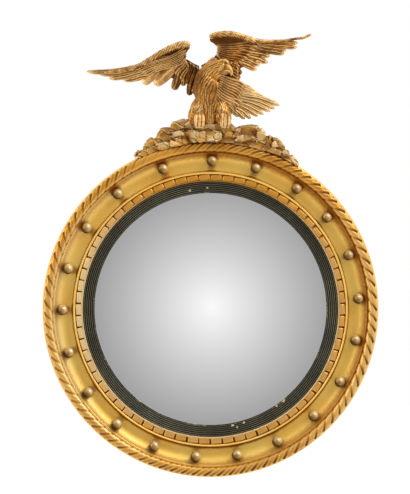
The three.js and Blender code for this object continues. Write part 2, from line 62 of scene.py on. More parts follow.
def node(tree, kind, inputs=None, stops=None, **settings):
    """Adds a node: inputs are values or sockets to link, stops are a colour ramp's."""
    made = tree.nodes.new(kind)
    for name, value in settings.items():
        setattr(made, name, value)
    for name, value in (inputs or {}).items():
        if isinstance(value, bpy.types.NodeSocket):
            tree.links.new(value, made.inputs[name])
        else:
            made.inputs[name].default_value = value
    if stops:
        elements = made.color_ramp.elements
        while len(elements) < len(stops):
            elements.new(1.0)
        for element, (place, code) in zip(elements, stops):
            element.position = place
            element.color = linear(code)
    return made


scene = bpy.context.scene
scene.view_settings.view_transform = "Standard"

camera_distance, ring_front = 3.2, 0.05
pixels_per_metre, picture_height = 474.6, 494
sensor = 36
camera_data = bpy.data.cameras.new("camera")
camera_data.sensor_width = sensor
camera_data.lens = pixels_per_metre * sensor * camera_distance / picture_height
camera = bpy.data.objects.new("camera", camera_data)
scene.collection.objects.link(camera)
camera.location = (-0.0116, -ring_front - camera_distance, 0.1313)
camera.rotation_euler = (math.radians(90), 0, 0)
scene.camera = camera

world = bpy.data.worlds.new("studio")
scene.world = world
world.use_nodes = True
tree = world.node_tree
tree.nodes.clear()
rays = node(tree, "ShaderNodeLightPath").outputs
direction = node(tree, "ShaderNodeTexCoord").outputs["Generated"]
room_middle = (0.012, -0.9996, -0.026)
ahead = node(tree, "ShaderNodeVectorMath", {0: direction, 1: room_middle},
             operation="DOT_PRODUCT")
angle = node(tree, "ShaderNodeMath", {0: ahead.outputs["Value"]}, operation="ARCCOSINE")
share = node(tree, "ShaderNodeMath", {0: angle.outputs[0], 1: 1 / math.pi}, operation="MULTIPLY")
room = node(tree, "ShaderNodeValToRGB", {"Fac": share.outputs[0]}, stops=[
    (0, "#e5e5e5"), (9.5 / 180, "#d1d1d1"), (19 / 180, "#bdbdbd"), (28.5 / 180, "#a9a9a9"),
    (38 / 180, "#959595"), (42 / 180, "#b0b0b0"), (50 / 180, "#f4f4f4"), (60 / 180, "#ffffff"),
])
even = node(tree, "ShaderNodeBackground", {"Color": linear("#ffffff"), "Strength": 0.5})
seen = node(tree, "ShaderNodeBackground", {"Color": linear("#ffffff"), "Strength": 1.0})
mirrored = node(tree, "ShaderNodeBackground", {"Color": room.outputs["Color"], "Strength": 1.25})
glossy = node(tree, "ShaderNodeMixShader", {
    0: rays["Is Glossy Ray"], 1: even.outputs[0], 2: mirrored.outputs[0]})
direct = node(tree, "ShaderNodeMath", {
    0: rays["Is Camera Ray"], 1: rays["Is Transmission Ray"]}, operation="MAXIMUM")
shown = node(tree, "ShaderNodeMixShader", {
    0: direct.outputs[0], 1: glossy.outputs[0], 2: seen.outputs[0]})
node(tree, "ShaderNodeOutputWorld", {"Surface": shown.outputs[0]})


def lamp(name, place, size, power):
    """A square lamp that points at the middle of the mirror."""
    data = bpy.data.lights.new(name, "AREA")
    data.size = size
    data.energy = power
    stand = bpy.data.objects.new(name, data)
    scene.collection.objects.link(stand)
    stand.location = place
    aim = Vector((0, 0, 0.1)) - Vector(place)
    stand.rotation_euler = aim.to_track_quat("-Z", "Y").to_euler()


lamp("key_lamp", (1.7, -1.3, 2.0), 1.7, 43)
lamp("fill_lamp", (-2.5, -0.9, 0.8), 1.4, 19)
lamp("low_lamp", (0.3, -1.0, -2.2), 1.6, 7)


def blank_material(name):
    """A new material and its empty node tree."""
    material = bpy.data.materials.new(name)
    material.use_nodes = True
    material.node_tree.nodes.clear()
    return material, material.node_tree


floor_wide, floor_deep, floor_middle, floor_height = 7, 4.2, 1.8, -0.62
bpy.ops.mesh.primitive_plane_add(size=1)
floor = bpy.context.object
floor.name = "floor"
for corner in floor.data.vertices:
    corner.co = (corner.co.x * floor_wide, floor_middle + corner.co.y * floor_deep, floor_height)
floor_paint, tree = blank_material("floor_paint")
rays = node(tree, "ShaderNodeLightPath").outputs
matt = node(tree, "ShaderNodeBsdfDiffuse", {"Color": linear("#e6e6e4")})
white = node(tree, "ShaderNodeEmission", {"Color": linear("#ffffff"), "Strength": 0.62})
half = node(tree, "ShaderNodeAddShader", {0: matt.outputs[0], 1: white.outputs[0]})
direct = node(tree, "ShaderNodeMath", {
    0: rays["Is Camera Ray"], 1: rays["Is Glossy Ray"]}, operation="MAXIMUM")
shown = node(tree, "ShaderNodeMixShader", {
    0: direct.outputs[0], 1: matt.outputs[0], 2: half.outputs[0]})
node(tree, "ShaderNodeOutputMaterial", {"Surface": shown.outputs[0]})
floor.data.materials.append(floor_paint)


# ---- Ring: turned pine, gessoed and gilded -------------------------------------------------
# The ring carries everything. It is turned from a glued-up pine blank: a bead, the deep hollow
# for the balls, a fillet, a seat for the rope and a plain sloping edge. Its front is water gilt
# over brown clay, with a little grime. Painted shade darkens the angles and the outer half of the
# hollow, a dark band painted across the hollow at each ball stands for the ball's reflection and
# shadow, and a painted highlight lies on the outer hollow on the left.
def outlined(name, places, fill="NOTHING"):
    """A new mesh with its corners at the places, each x, z and depth."""
    bpy.ops.object.select_all(action="DESELECT")
    bpy.ops.mesh.primitive_circle_add(vertices=len(places), radius=0.3, fill_type=fill)
    piece = bpy.context.object
    piece.name = piece.data.name = name
    for corner, (x, z, depth) in zip(piece.data.vertices, places):
        corner.co = (x / 1000, -depth / 1000, z / 1000)
    return piece


def faces_out():
    """Turns the faces outwards in edit mode, and leaves it."""
    bpy.ops.mesh.select_all(action="SELECT")
    bpy.ops.mesh.normals_make_consistent(inside=False)
    bpy.ops.object.mode_set(mode="OBJECT")


def closed_mesh():
    """Merges a mesh's doubles, removes what is loose and turns its faces out."""
    bpy.ops.object.mode_set(mode="EDIT")
    bpy.ops.mesh.select_all(action="SELECT")
    bpy.ops.mesh.remove_doubles(threshold=2e-6)
    bpy.ops.mesh.delete_loose()
    faces_out()


def spun(name, profile, steps):
    """Turns a closed outline of [radius, depth] points once round the ring's axis."""
    piece = outlined(name, [(radius, 0, depth) for radius, depth in profile])
    bpy.ops.object.mode_set(mode="EDIT")
    bpy.ops.mesh.select_all(action="SELECT")
    bpy.ops.mesh.spin(steps=steps, angle=2 * math.pi, center=(0, 0, 0), axis=(0, 1, 0))
    bpy.ops.object.mode_set(mode="OBJECT")
    closed_mesh()
    bpy.ops.object.shade_smooth_by_angle(angle=math.radians(40))
    return piece


def mark(piece, name, value):
    """Gives each corner of the mesh a number, which the material reads by that name."""
    layer = piece.data.attributes.new(name, "FLOAT", "POINT")
    for corner, item in zip(piece.data.vertices, layer.data):
        item.value = value(corner.co * 1000)


def fit(piece, material, slot, *nodes, body="frame"):
    """Finishes a piece: its material, the body that it moves with and the CAD nodes it shows."""
    piece.data.materials.clear()
    piece.data.materials.append(material)
    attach(piece, body)
    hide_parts(*nodes)


def bump(x, width):
    """1 at x = 0, falling smoothly to 0 at one width either side."""
    return max(0.0, 1 - (x / width) ** 2) ** 2


def gilding(name, leaf, deep, rubbed_and_highlight, grime_and_shade, patch, metal, rough, grain, dust=0.0):
    """Gold leaf on clay and gesso, in two shades of leaf that change over patches of the given
    size. The attribute "hollow" runs from -1 on worn edges, where the pale gesso shows, to 1 in
    the bottoms, darkened with grime and with painted shade, and "tone" from -1, browned by smoke
    and by painted shade, to 1, where the leaf lies thinly and where a highlight is painted. Dust
    greys what faces up, and the back is only washed with ochre. Gilding is dull, so what isn't
    metal has only a weak sheen."""
    material, tree = blank_material(name)
    coordinates = node(tree, "ShaderNodeTexCoord").outputs["Object"]
    hollow = node(tree, "ShaderNodeAttribute", attribute_name="hollow").outputs["Fac"]
    tone = node(tree, "ShaderNodeAttribute", attribute_name="tone").outputs["Fac"]
    patches = node(tree, "ShaderNodeTexNoise", {
        "Vector": coordinates, "Scale": 1000 / patch, "Detail": 4.0, "Roughness": 0.6})
    flecks = node(tree, "ShaderNodeTexNoise", {
        "Vector": coordinates, "Scale": 1000 / 5, "Detail": 5.0, "Roughness": 0.7})
    toned = node(tree, "ShaderNodeMapRange", {
        "Value": patches.outputs["Fac"], "From Min": 0.4, "From Max": 0.66})
    gold = node(tree, "ShaderNodeMix", {
        "Factor": toned.outputs[0], 6: linear(leaf), 7: linear(deep)}, data_type="RGBA")
    # Thinly laid leaf and painted highlights turn pale; smoke and painted shade turn dark.
    thin_leaf_and_highlight_share = node(tree, "ShaderNodeMapRange", {"Value": tone, "To Max": 0.85})
    thin_leaf_and_highlight = node(tree, "ShaderNodeMix", {
        "Factor": thin_leaf_and_highlight_share.outputs[0], 6: gold.outputs[2], 7: linear(rubbed_and_highlight)}, data_type="RGBA")
    smoke_and_shade_share = node(tree, "ShaderNodeMapRange", {
        "Value": tone, "From Min": 0.0, "From Max": -1.0, "To Max": 0.85})
    smoked_and_shaded = node(tree, "ShaderNodeMix", {
        "Factor": smoke_and_shade_share.outputs[0], 6: thin_leaf_and_highlight.outputs[2], 7: linear(grime_and_shade)}, data_type="RGBA")
    # Worn edges and painted highlights turn to the pale colour.
    raised = node(tree, "ShaderNodeMath", {
        0: hollow, 1: -1.0, 2: flecks.outputs["Fac"]}, operation="MULTIPLY_ADD")
    worn = node(tree, "ShaderNodeMath", {0: tone, 1: 0.6, 2: raised.outputs[0]},
                operation="MULTIPLY_ADD")
    worn_and_highlight_share = node(tree, "ShaderNodeMapRange", {
        "Value": worn.outputs[0], "From Min": 0.75, "From Max": 1.6})
    pale = node(tree, "ShaderNodeMix", {
        "Factor": worn_and_highlight_share.outputs[0], 6: smoked_and_shaded.outputs[2], 7: linear(rubbed_and_highlight)},
        data_type="RGBA")
    # Grime and painted shade darken the hollows.
    grime_and_shade_amount = node(tree, "ShaderNodeMath", {
        0: flecks.outputs["Fac"], 1: 0.5, 2: hollow}, operation="MULTIPLY_ADD")
    grime_and_shade_share = node(tree, "ShaderNodeMapRange", {
        "Value": grime_and_shade_amount.outputs[0], "From Min": 0.34, "From Max": 1.1})
    aged = node(tree, "ShaderNodeMix", {
        "Factor": grime_and_shade_share.outputs[0], 6: pale.outputs[2], 7: linear(grime_and_shade)},
        data_type="RGBA")
    facing = node(tree, "ShaderNodeSeparateXYZ", {
        0: node(tree, "ShaderNodeNewGeometry").outputs["Normal"]})
    dust_share = node(tree, "ShaderNodeMapRange", {
        "Value": facing.outputs["Z"], "From Min": 0.35, "From Max": 0.95, "To Max": dust})
    dusty = node(tree, "ShaderNodeMix", {
        "Factor": dust_share.outputs[0], 6: aged.outputs[2], 7: linear("#7a6850")},
        data_type="RGBA")
    back_share = node(tree, "ShaderNodeMapRange", {
        "Value": facing.outputs["Y"], "From Min": 0.45, "From Max": 0.8})
    colour = node(tree, "ShaderNodeMix", {
        "Factor": back_share.outputs[0], 6: dusty.outputs[2], 7: linear("#8f6a3a")},
        data_type="RGBA")
    covered = node(tree, "ShaderNodeMath", {
        0: grime_and_shade_share.outputs[0], 1: back_share.outputs[0]}, operation="MAXIMUM")
    metallic = node(tree, "ShaderNodeMapRange", {
        "Value": covered.outputs[0], "To Min": metal, "To Max": 0.15})
    roughness = node(tree, "ShaderNodeMapRange", {
        "Value": covered.outputs[0], "To Min": rough, "To Max": 0.75})
    relief = node(tree, "ShaderNodeBump", {
        "Height": flecks.outputs["Fac"], "Strength": grain, "Distance": 0.0008})
    shader = node(tree, "ShaderNodeBsdfPrincipled", {
        "Base Color": colour.outputs[2], "Metallic": metallic.outputs[0],
        "Roughness": roughness.outputs[0], "Specular IOR Level": 0.25,
        "Normal": relief.outputs[0]})
    node(tree, "ShaderNodeOutputMaterial", {"Surface": shader.outputs[0]})
    return material


ring_profile = [(257, 8.3), (257, 24), (257, 39.7), (271, 39.7), (285, 39.7), (285, 47),
                (285, 52.2)]
for step in range(1, 8):
    turn = math.pi * step / 8
    ring_profile.append((287.3 - 2.3 * math.cos(turn), 52.2 + 2.0 * math.sin(turn)))
ring_profile += [(289.6, 52.2), (290.2, 48), (290.6, 41), (291.2, 37)]
hollow_inner, hollow_wide, hollow_rim, hollow_deep = 292, 36, 58, 22
for step in range(21):
    turn = math.pi / 2 * step / 20
    ring_profile.append((hollow_inner + hollow_wide * math.sin(turn),
                         hollow_rim - hollow_deep * math.cos(turn)))
ring_profile += [(328.5, 58.5), (330.2, 58.5), (331.4, 58), (331.9, 57), (331.9, 51.2),
                 (340, 51.2), (348.7, 51.2), (350.2, 50.6), (352, 48.9), (353.6, 46.7),
                 (354.4, 44.5), (354.5, 42), (354.5, 25), (354.5, 9.3), (353.5, 8.3), (305, 8.3)]
ring = spun("turned_ring", ring_profile, 400)

ball_middles = []
for number in range(1, 22):
    low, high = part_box(f"ball_{number:02d}")
    ball_middles.append((low + high) / 2 * 1000)


def ring_shade_and_grime(co):
    """Painted shade in the angles beside the bead and the fillet, on the bead's top, in a ring
    round each ball, across the hollow beside each ball as its painted reflection and shadow, over
    the outer half of the hollow, and on its inner part at the bottom: most of it on the top and the
    right, least on the left. A little random grime, and the fillet a little paler."""
    radius, depth = math.hypot(co.x, co.z), -co.y
    if depth < 30 or radius < 284:
        return 0.3
    up, right = co.z / radius, co.x / radius
    below = max(0.0, -up)
    # Painted shade in the angle by the bead, heaviest at the bottom, and in the angle under the
    # rope.
    grime_and_shade = (0.95 - 0.2 * up) * bump(radius - 291 - 1.3 * below, 3.8)
    grime_and_shade += (0.42 + 0.35 * up + 0.35 * right) * bump(radius - 331, 3.2)
    grime_and_shade += 0.9 * below * bump(radius - 289.4, 2.2)
    # Each ball's reflection and shadow painted as a dark band across the hollow, painted shade
    # round it, and painted shade over the outer hollow by side.
    if 290.2 < radius < 331:
        ball = min(ball_middles, key=lambda m: (co.x - m.x) ** 2 + (co.z - m.z) ** 2)
        away = math.hypot(co.x - ball.x, co.z - ball.z)
        beside = abs(co.x * ball.z - co.z * ball.x) / ball.xz.length
        beside += 2.5 * noise.noise(Vector((co.x, co.z, 0)) / 5)
        ends = min(1.0, abs(radius - 310) / 13)
        ball_reflection_shade = 0.5 + 0.2 * up - 0.22 * right
        grime_and_shade += ball_reflection_shade * bump(beside, 17) * (0.35 + 0.65 * ends) * (away < 32)
        grime_and_shade += 0.3 * bump(away - 11.5, 4)
        shade = 0.45 + 0.35 * up + 0.32 * right + 0.4 * below
        grime_and_shade += shade * max(0.0, min(1.0, (radius - 311) / 14))
        grime_and_shade += 0.4 * below * bump(radius - 294, 8)
        grime_and_shade += 0.12 * noise.noise(Vector((radius / 4, math.atan2(co.x, co.z) * 50, 4))) - 0.22
    # Painted shade on the bead's top; the bead is a little paler elsewhere.
    grime_and_shade += (0.35 * max(0.0, up) - 0.2) * bump(radius - 287.3, 2.2)
    return grime_and_shade - 0.2 * bump(radius - 329.4, 1.5)


def ring_highlight_and_tone(co):
    """A painted highlight on the outer half of the hollow on the left and, weaker, at the bottom;
    the bead is a little paler, and the plain edge is brown.
    """
    radius = math.hypot(co.x, co.z)
    below, left = max(0.0, -co.z / radius), max(0.0, -co.x / radius)
    if radius > 348:
        return -0.25
    outer = max(0.15 * below, 0.7 * left) * bump(radius - 328, 18)
    return outer + 0.1 * bump(radius - 287.3, 2.6)


mark(ring, "hollow", ring_shade_and_grime)
mark(ring, "tone", ring_highlight_and_tone)
# The pale colour also gives the painted highlight on the left of the hollow, and the dark brown the
# painted shade in the angles and beside the balls.
fit(ring, gilding("gilded_hollow", "#ffd86e", "#ffc856", "#fbe2a0", "#a05a02", patch=70,
                  metal=0.58, rough=0.46, grain=0.12), "gilt_wood", "frame_ring")


# ---- Rope: carved pine, gilded --------------------------------------------------------------
# The rope moulding is carved round its seat and glued down: 90 strands with a slanted groove
# between them that deepens outwards, and a second groove down each, faint at the sides of the
# ring. Its strands' crests are painted pale as highlights and its grooves and foot dark as shade,
# and it is worn almost smooth on the upper left.
def surface(name, rows, columns, place):
    """A grid whose corners are put where place(u, v) says, closed where its sides meet."""
    bpy.ops.object.select_all(action="DESELECT")
    bpy.ops.mesh.primitive_grid_add(x_subdivisions=rows, y_subdivisions=columns, size=1)
    piece = bpy.context.object
    piece.name = piece.data.name = name
    for corner in piece.data.vertices:
        corner.co = place(corner.co.x + 0.5, corner.co.y + 0.5) / 1000
    closed_mesh()
    bpy.ops.object.shade_smooth()
    return piece


rope_middle, rope_wide, rope_high = 341.3, 10.2, 8.5
rope_depth, rope_foot = 60, 51.5
strand_pitch, groove_lean = 4, 4.4  # degrees round the ring


def rope_strand(turn, across):
    """Where a point lies across its strand: 0 in the middle, 1 or -1 in a groove."""
    wander = 0.10 * math.sin(3 * turn + 1) + 0.07 * math.sin(11 * turn)
    wander += 0.05 * math.sin(23 * turn)
    phase = math.degrees(turn) / strand_pitch - across * groove_lean / 2 / strand_pitch + wander
    return 2 * (phase % 1) - 1


def rope_cut(turn, across):
    """Depth of the carving, and how worn the rope is here, from 0 to 1."""
    angle = math.degrees(turn) % 360
    worn = 0.75 * bump(angle - 340, 17) + 0.15 * bump(angle - 128, 30)
    double = 0.2 + 0.6 * math.cos(turn) ** 2 - 0.2 * bump(angle - 128, 50)
    strand = rope_strand(turn, across)
    outer = 0.3 + 0.7 * min(1.0, max(0.0, 0.62 + 0.75 * across))
    cut = 4.2 * abs(strand) ** 2.6 + 3.0 * double * bump(strand, 0.5)
    return cut * outer * (1 - worn), worn


def rope_point(u, v):
    turn, round_section = 2 * math.pi * u, 2 * math.pi * v
    across, up = math.cos(round_section), math.sin(round_section)
    cut, worn = rope_cut(turn, across)
    reach = rope_high - cut - 0.5 * worn
    radius = rope_middle + across * (reach + rope_wide - rope_high)
    depth = max(rope_foot, rope_depth + up * reach)
    return Vector((radius * math.sin(turn), -depth, radius * math.cos(turn)))


def rope_place(co):
    """Where a corner lies: its turn round the ring, and -1 to 1 from the inside out."""
    turn = math.atan2(co.x, co.z) % (2 * math.pi)
    return turn, max(-1, min(1, (math.hypot(co.x, co.z) - rope_middle) / rope_wide))


def rope_shade_and_grime(co):
    """Painted shade and grime in the grooves, least on the left, and painted shade along the foot.
    """
    turn, across = rope_place(co)
    cut, worn = rope_cut(turn, across)
    kept = 0.44 + 0.2 * min(0.0, math.sin(turn))
    foot = 0.25 * bump(-co.y - rope_foot, 5)
    return kept * cut - 0.38 * (1 - worn) + foot - 0.1 * bump(across + 0.8, 0.5)


def rope_highlight_and_shade(co):
    """Painted highlights on the strands' crests and along the inner side on the left; painted shade
    along the inner side elsewhere, most at the bottom, and at the top, which is the reddest."""
    turn, across = rope_place(co)
    cut, worn = rope_cut(turn, across)
    left, below = max(0.0, -math.sin(turn)), max(0.0, -math.cos(turn))
    inner = (0.9 * left - 0.3 - 0.3 * below) * bump(across + 1, 0.7)
    return 0.7 - 0.5 * cut + inner - 0.5 * max(0.0, math.cos(turn + 0.4))


rope = surface("carved_rope", 1440, 28, rope_point)
mark(rope, "hollow", rope_shade_and_grime)
mark(rope, "tone", rope_highlight_and_shade)
# Its pale colour also gives the painted highlights, and its dark brown the painted shade.
fit(rope, gilding("gilded_rope", "#dd9f3e", "#c4842a", "#efc983", "#6e400e", patch=70,
                  metal=0.6, rough=0.42, grain=0.3), "gilt_wood", "rope_moulding")


# ---- Block moulding: carved and gilded pine -------------------------------------------------
# A ring of 70 raised pads that stand against a thin inner rim, with a narrow groove at their
# sides and round their outer corners. The pads are painted cream on the left as a highlight and
# reddest at the top as shade, their sides and the ground between them dark as shade, and the worn
# rim pale, also as a highlight, but for the top.
def joined(parts, name):
    """Joins parts into the first of them."""
    bpy.ops.object.select_all(action="DESELECT")
    for part in parts:
        part.select_set(True)
    bpy.context.view_layer.objects.active = parts[0]
    bpy.ops.object.join()
    parts[0].name = parts[0].data.name = name
    return parts[0]


base_profile = [(269.6, 40), (269.6, 49), (270, 50), (271.2, 50.4), (272.5, 50.1), (273, 49.4),
                (273.2, 48.3), (278, 48.1), (283.8, 48.3), (284.4, 48.6), (284.6, 47), (284.6, 40)]
rim_radius, pads_end = 273.1, 283


def base_wear_and_shade(co):
    """The rim is worn, and the ground between the pads painted dark as shade, less so at the top.
    """
    radius, up = math.hypot(co.x, co.z), max(0.0, co.z / 272)
    return -0.45 if radius < rim_radius else 0.8 - 0.6 * up * (radius < pads_end)


def base_highlight_and_shade(co):
    """The rim is painted pale as a highlight but for the top, and the ground brown as shade but
    for the top.
    """
    radius, up = math.hypot(co.x, co.z), max(0.0, co.z / 272)
    return 0.95 - 1.3 * up ** 2 if radius < rim_radius else -0.5 + up


parts = [spun("block_moulding_base", base_profile, 420)]
mark(parts[0], "hollow", base_wear_and_shade)
mark(parts[0], "tone", base_highlight_and_shade)

pad_wide, pad_thick, pad_high = 21.8, 7, 12
pad_depth, pad_circle, pad_count = 48.5, 279, 70
bpy.ops.object.select_all(action="DESELECT")
bpy.ops.mesh.primitive_cube_add(size=1)
pattern = bpy.context.object
for corner in pattern.data.vertices:
    corner.co.x *= pad_wide / 1000
    corner.co.y *= pad_thick / 1000
    corner.co.z *= pad_high / 1000
for side, round_corner in ((1, 0.0036), (-1, 0.0009)):
    bpy.ops.object.mode_set(mode="EDIT")
    bpy.ops.mesh.select_all(action="DESELECT")
    bpy.ops.object.mode_set(mode="OBJECT")
    for edge in pattern.data.edges:
        a, b = (pattern.data.vertices[i].co for i in edge.vertices)
        edge.select = abs(a.y - b.y) > 0.004 and a.z * side > 0.005 and abs(a.x) > 0.01
    bpy.ops.object.mode_set(mode="EDIT")
    bpy.ops.mesh.bevel(offset=round_corner, segments=4, affect="EDGES")
    bpy.ops.object.mode_set(mode="OBJECT")
for face in pattern.data.polygons:
    face.select = face.normal.y < -0.9
bpy.ops.object.mode_set(mode="EDIT")
bpy.ops.mesh.inset(thickness=0.001, depth=0.0008)
bpy.ops.mesh.inset(thickness=0.0014, depth=0.0003)
bpy.ops.object.mode_set(mode="OBJECT")
bpy.ops.object.shade_smooth_by_angle(angle=math.radians(30))
for number in range(pad_count):
    bpy.ops.object.select_all(action="DESELECT")
    pattern.select_set(True)
    bpy.context.view_layer.objects.active = pattern
    bpy.ops.object.duplicate()
    pad = bpy.context.object
    turn = math.radians((number + 0.5) * 360 / pad_count + chance.uniform(-0.12, 0.12))
    rise = pad_depth + chance.uniform(-0.2, 0.2)
    place = Vector((0, -rise, pad_circle + chance.uniform(-0.15, 0.15))) / 1000
    skew = math.radians(chance.uniform(-5.5, -2.5))
    pad.data.transform(Matrix.Rotation(turn, 4, "Y") @ Matrix.Translation(place)
                       @ Matrix.Rotation(skew, 4, "Y"))
    worn = chance.uniform(-0.2, 0.0)
    # The pads' tops are worn a little at random; their sides are painted dark as shade.
    mark(pad, "hollow", lambda co: worn if -co.y > rise + 3.2 else 0.8)
    # Painted highlight on the pads on the left, painted shade on those at the top.
    left, top = max(0.0, -math.sin(turn)), max(0.0, math.cos(turn))
    lightness = 0.75 * left ** 4 - 0.34 * top ** 3 + 0.2 + chance.uniform(-0.06, 0.06)
    mark(pad, "tone", lambda co: lightness)
    parts.append(pad)
bpy.ops.object.select_all(action="DESELECT")
pattern.select_set(True)
bpy.ops.object.delete()
# Its pale colour also gives the painted highlights, and its dark brown the painted shade.
fit(joined(parts, "carved_blocks"),
    gilding("gilded_blocks", "#dc9c38", "#cd8c2c", "#fadba0", "#6b3e0c", patch=30, metal=0.5,
            rough=0.42, grain=0.35), "gilt_wood", "block_moulding")


# ---- Slip: ebonised pine --------------------------------------------------------------------
# The slip covers the glass's edge. It is turned with five fine reeds outside a thin lip, stained
# black and varnished. The reeds' crests are painted olive as highlights and the grooves between
# them near black as shade. Chips and the lip show the gesso.
reeds_start, reed_pitch, reed_rise = 249.8, 3.85, 1.05
slip_profile = [(251, 35), (247.4, 37), (247.1, 38), (247.5, 38.7), (249.6, 39.1)]
for reed in range(5):
    start, foot = reeds_start + reed * reed_pitch, 38.4 + reed * reed_rise
    slip_profile += [(start + 0.3, foot + 0.4), (start + 1.1, foot + 1.9),
                     (start + 2.0, foot + 2.4), (start + 2.9, foot + 2.1),
                     (start + 3.6, foot + 1.2)]
slip_profile += [(269.1, 43.6), (269.2, 40), (256.4, 40), (256.4, 31.5), (251, 31.5)]
slip = spun("turned_slip", slip_profile, 480)
# Chips in the stain: x, z and size.
chips = [(-43.6, 250.6, 3.0), (-6.1, 256.4, 2.2), (47, -245.4, 2.6), (56.7, -249.6, 2.2),
         (70.2, -240.1, 2.4), (139.7, -204.3, 2.6), (154.4, -193.8, 3.2), (264, -56, 2.2)]


def slip_chips(co):
    """1 where the stain is chipped off, and a little along the lip."""
    worn = 0.26 * bump(math.hypot(co.x, co.z) - 247.2, 1.3) * (1 + noise.noise(co / 30))
    for x, z, size in chips:
        worn = max(worn, bump(math.hypot(co.x - x, co.z - z), size * 1.6))
    return worn


def reed_crest_highlight(co):
    """1 along the top of each reed, which is painted pale as a highlight."""
    return bump((math.hypot(co.x, co.z) - reeds_start) % reed_pitch - 2.0, 0.95)


mark(slip, "chip", slip_chips)
mark(slip, "crest", reed_crest_highlight)
ebonised, tree = blank_material("ebonised_pine")
coordinates = node(tree, "ShaderNodeTexCoord").outputs["Object"]
chip = node(tree, "ShaderNodeAttribute", attribute_name="chip").outputs["Fac"]
crest = node(tree, "ShaderNodeAttribute", attribute_name="crest").outputs["Fac"]
faded = node(tree, "ShaderNodeTexNoise", {
    "Vector": coordinates, "Scale": 1000 / 80, "Detail": 4.0, "Roughness": 0.6})
specks = node(tree, "ShaderNodeTexNoise", {
    "Vector": coordinates, "Scale": 1000 / 3, "Detail": 3.0, "Roughness": 0.6})
stain = node(tree, "ShaderNodeValToRGB", {"Fac": faded.outputs["Fac"]}, stops=[
    (0.3, "#5f5a42"), (0.5, "#7d775c"), (0.7, "#9b9576")])
# Olive on the reeds' crests is painted highlight, near black between them painted shade.
reed_highlight_and_shade = node(tree, "ShaderNodeMix", {
    "Factor": crest, 6: linear("#0e0d08"), 7: stain.outputs["Color"]}, data_type="RGBA")
ragged = node(tree, "ShaderNodeMath", {
    0: specks.outputs["Fac"], 1: 0.9, 2: chip}, operation="MULTIPLY_ADD")
bare = node(tree, "ShaderNodeMapRange", {
    "Value": ragged.outputs[0], "From Min": 0.8, "From Max": 0.95})
colour = node(tree, "ShaderNodeMix", {
    "Factor": bare.outputs[0], 6: reed_highlight_and_shade.outputs[2], 7: linear("#d9c39a")},
    data_type="RGBA")
shine = node(tree, "ShaderNodeMapRange", {
    "Value": specks.outputs["Fac"], "To Min": 0.3, "To Max": 0.5})
relief = node(tree, "ShaderNodeBump", {
    "Height": specks.outputs["Fac"], "Strength": 0.08, "Distance": 0.0005})
shader = node(tree, "ShaderNodeBsdfPrincipled", {
    "Base Color": colour.outputs[2], "Roughness": shine.outputs[0],
    "Normal": relief.outputs[0], "IOR": 1.5, "Specular IOR Level": 0.22})
node(tree, "ShaderNodeOutputMaterial", {"Surface": shader.outputs[0]})
fit(slip, ebonised, "ebonised_wood", "slip")


# ---- Glass: convex silvered plate -----------------------------------------------------------
# A plate bent over a dome, silvered and painted brown behind, with its edge hidden under the
# slip. It shows the room clearly, under a faint haze.
dome_radius, glass_front, glass_back = 852, 72, 69


def dome_depth(radius, apex):
    return apex - dome_radius + math.sqrt(dome_radius ** 2 - radius ** 2)


rings = [0, 4, 10, 20] + list(range(35, 246, 15))
glass_profile = [(radius, dome_depth(radius, glass_front)) for radius in rings]
glass_profile += [(249, dome_depth(249, glass_front)), (250, 33.8), (250, 31.6)]
glass_profile += [(radius, dome_depth(radius, glass_back)) for radius in reversed(rings)]
glass = spun("convex_glass", glass_profile, 240)
silvered, tree = blank_material("silvered_glass")
coordinates = node(tree, "ShaderNodeTexCoord").outputs["Object"]
haze = node(tree, "ShaderNodeTexNoise", {
    "Vector": coordinates, "Scale": 1000 / 120, "Detail": 3.0, "Roughness": 0.5})
polish = node(tree, "ShaderNodeMapRange", {
    "Value": haze.outputs["Fac"], "To Min": 0.015, "To Max": 0.05})
facing = node(tree, "ShaderNodeSeparateXYZ", {
    0: node(tree, "ShaderNodeNewGeometry").outputs["Normal"]})
behind = node(tree, "ShaderNodeMath", {0: facing.outputs["Y"], 1: 0.2}, operation="GREATER_THAN")
colour = node(tree, "ShaderNodeMix", {
    "Factor": behind.outputs[0], 6: linear("#fcfdfc"), 7: linear("#6d655c")}, data_type="RGBA")
metallic = node(tree, "ShaderNodeMapRange", {
    "Value": behind.outputs[0], "To Min": 1.0, "To Max": 0.0})
painted = node(tree, "ShaderNodeMath", {
    0: behind.outputs[0], 1: 0.6, 2: polish.outputs[0]}, operation="MULTIPLY_ADD")
shader = node(tree, "ShaderNodeBsdfPrincipled", {
    "Base Color": colour.outputs[2], "Metallic": metallic.outputs[0],
    "Roughness": painted.outputs[0]})
node(tree, "ShaderNodeOutputMaterial", {"Surface": shader.outputs[0]})
fit(glass, silvered, "mirror_glass", "mirror_plate")


# ---- Balls: turned wood, gilded -------------------------------------------------------------
# 21 balls glued into the hollow. Their gilding is dull and rubbed through in places. Each is
# painted pale, the beige of the ground, towards the upper right as a highlight, and dark round the
# seat and towards the lower left as shade, with some grime.
ball_radius, seat_wide = 11, 0.86
seat_out, seat_back = 0.5378, 0.8430  # the seat's direction, seen from a ball's middle
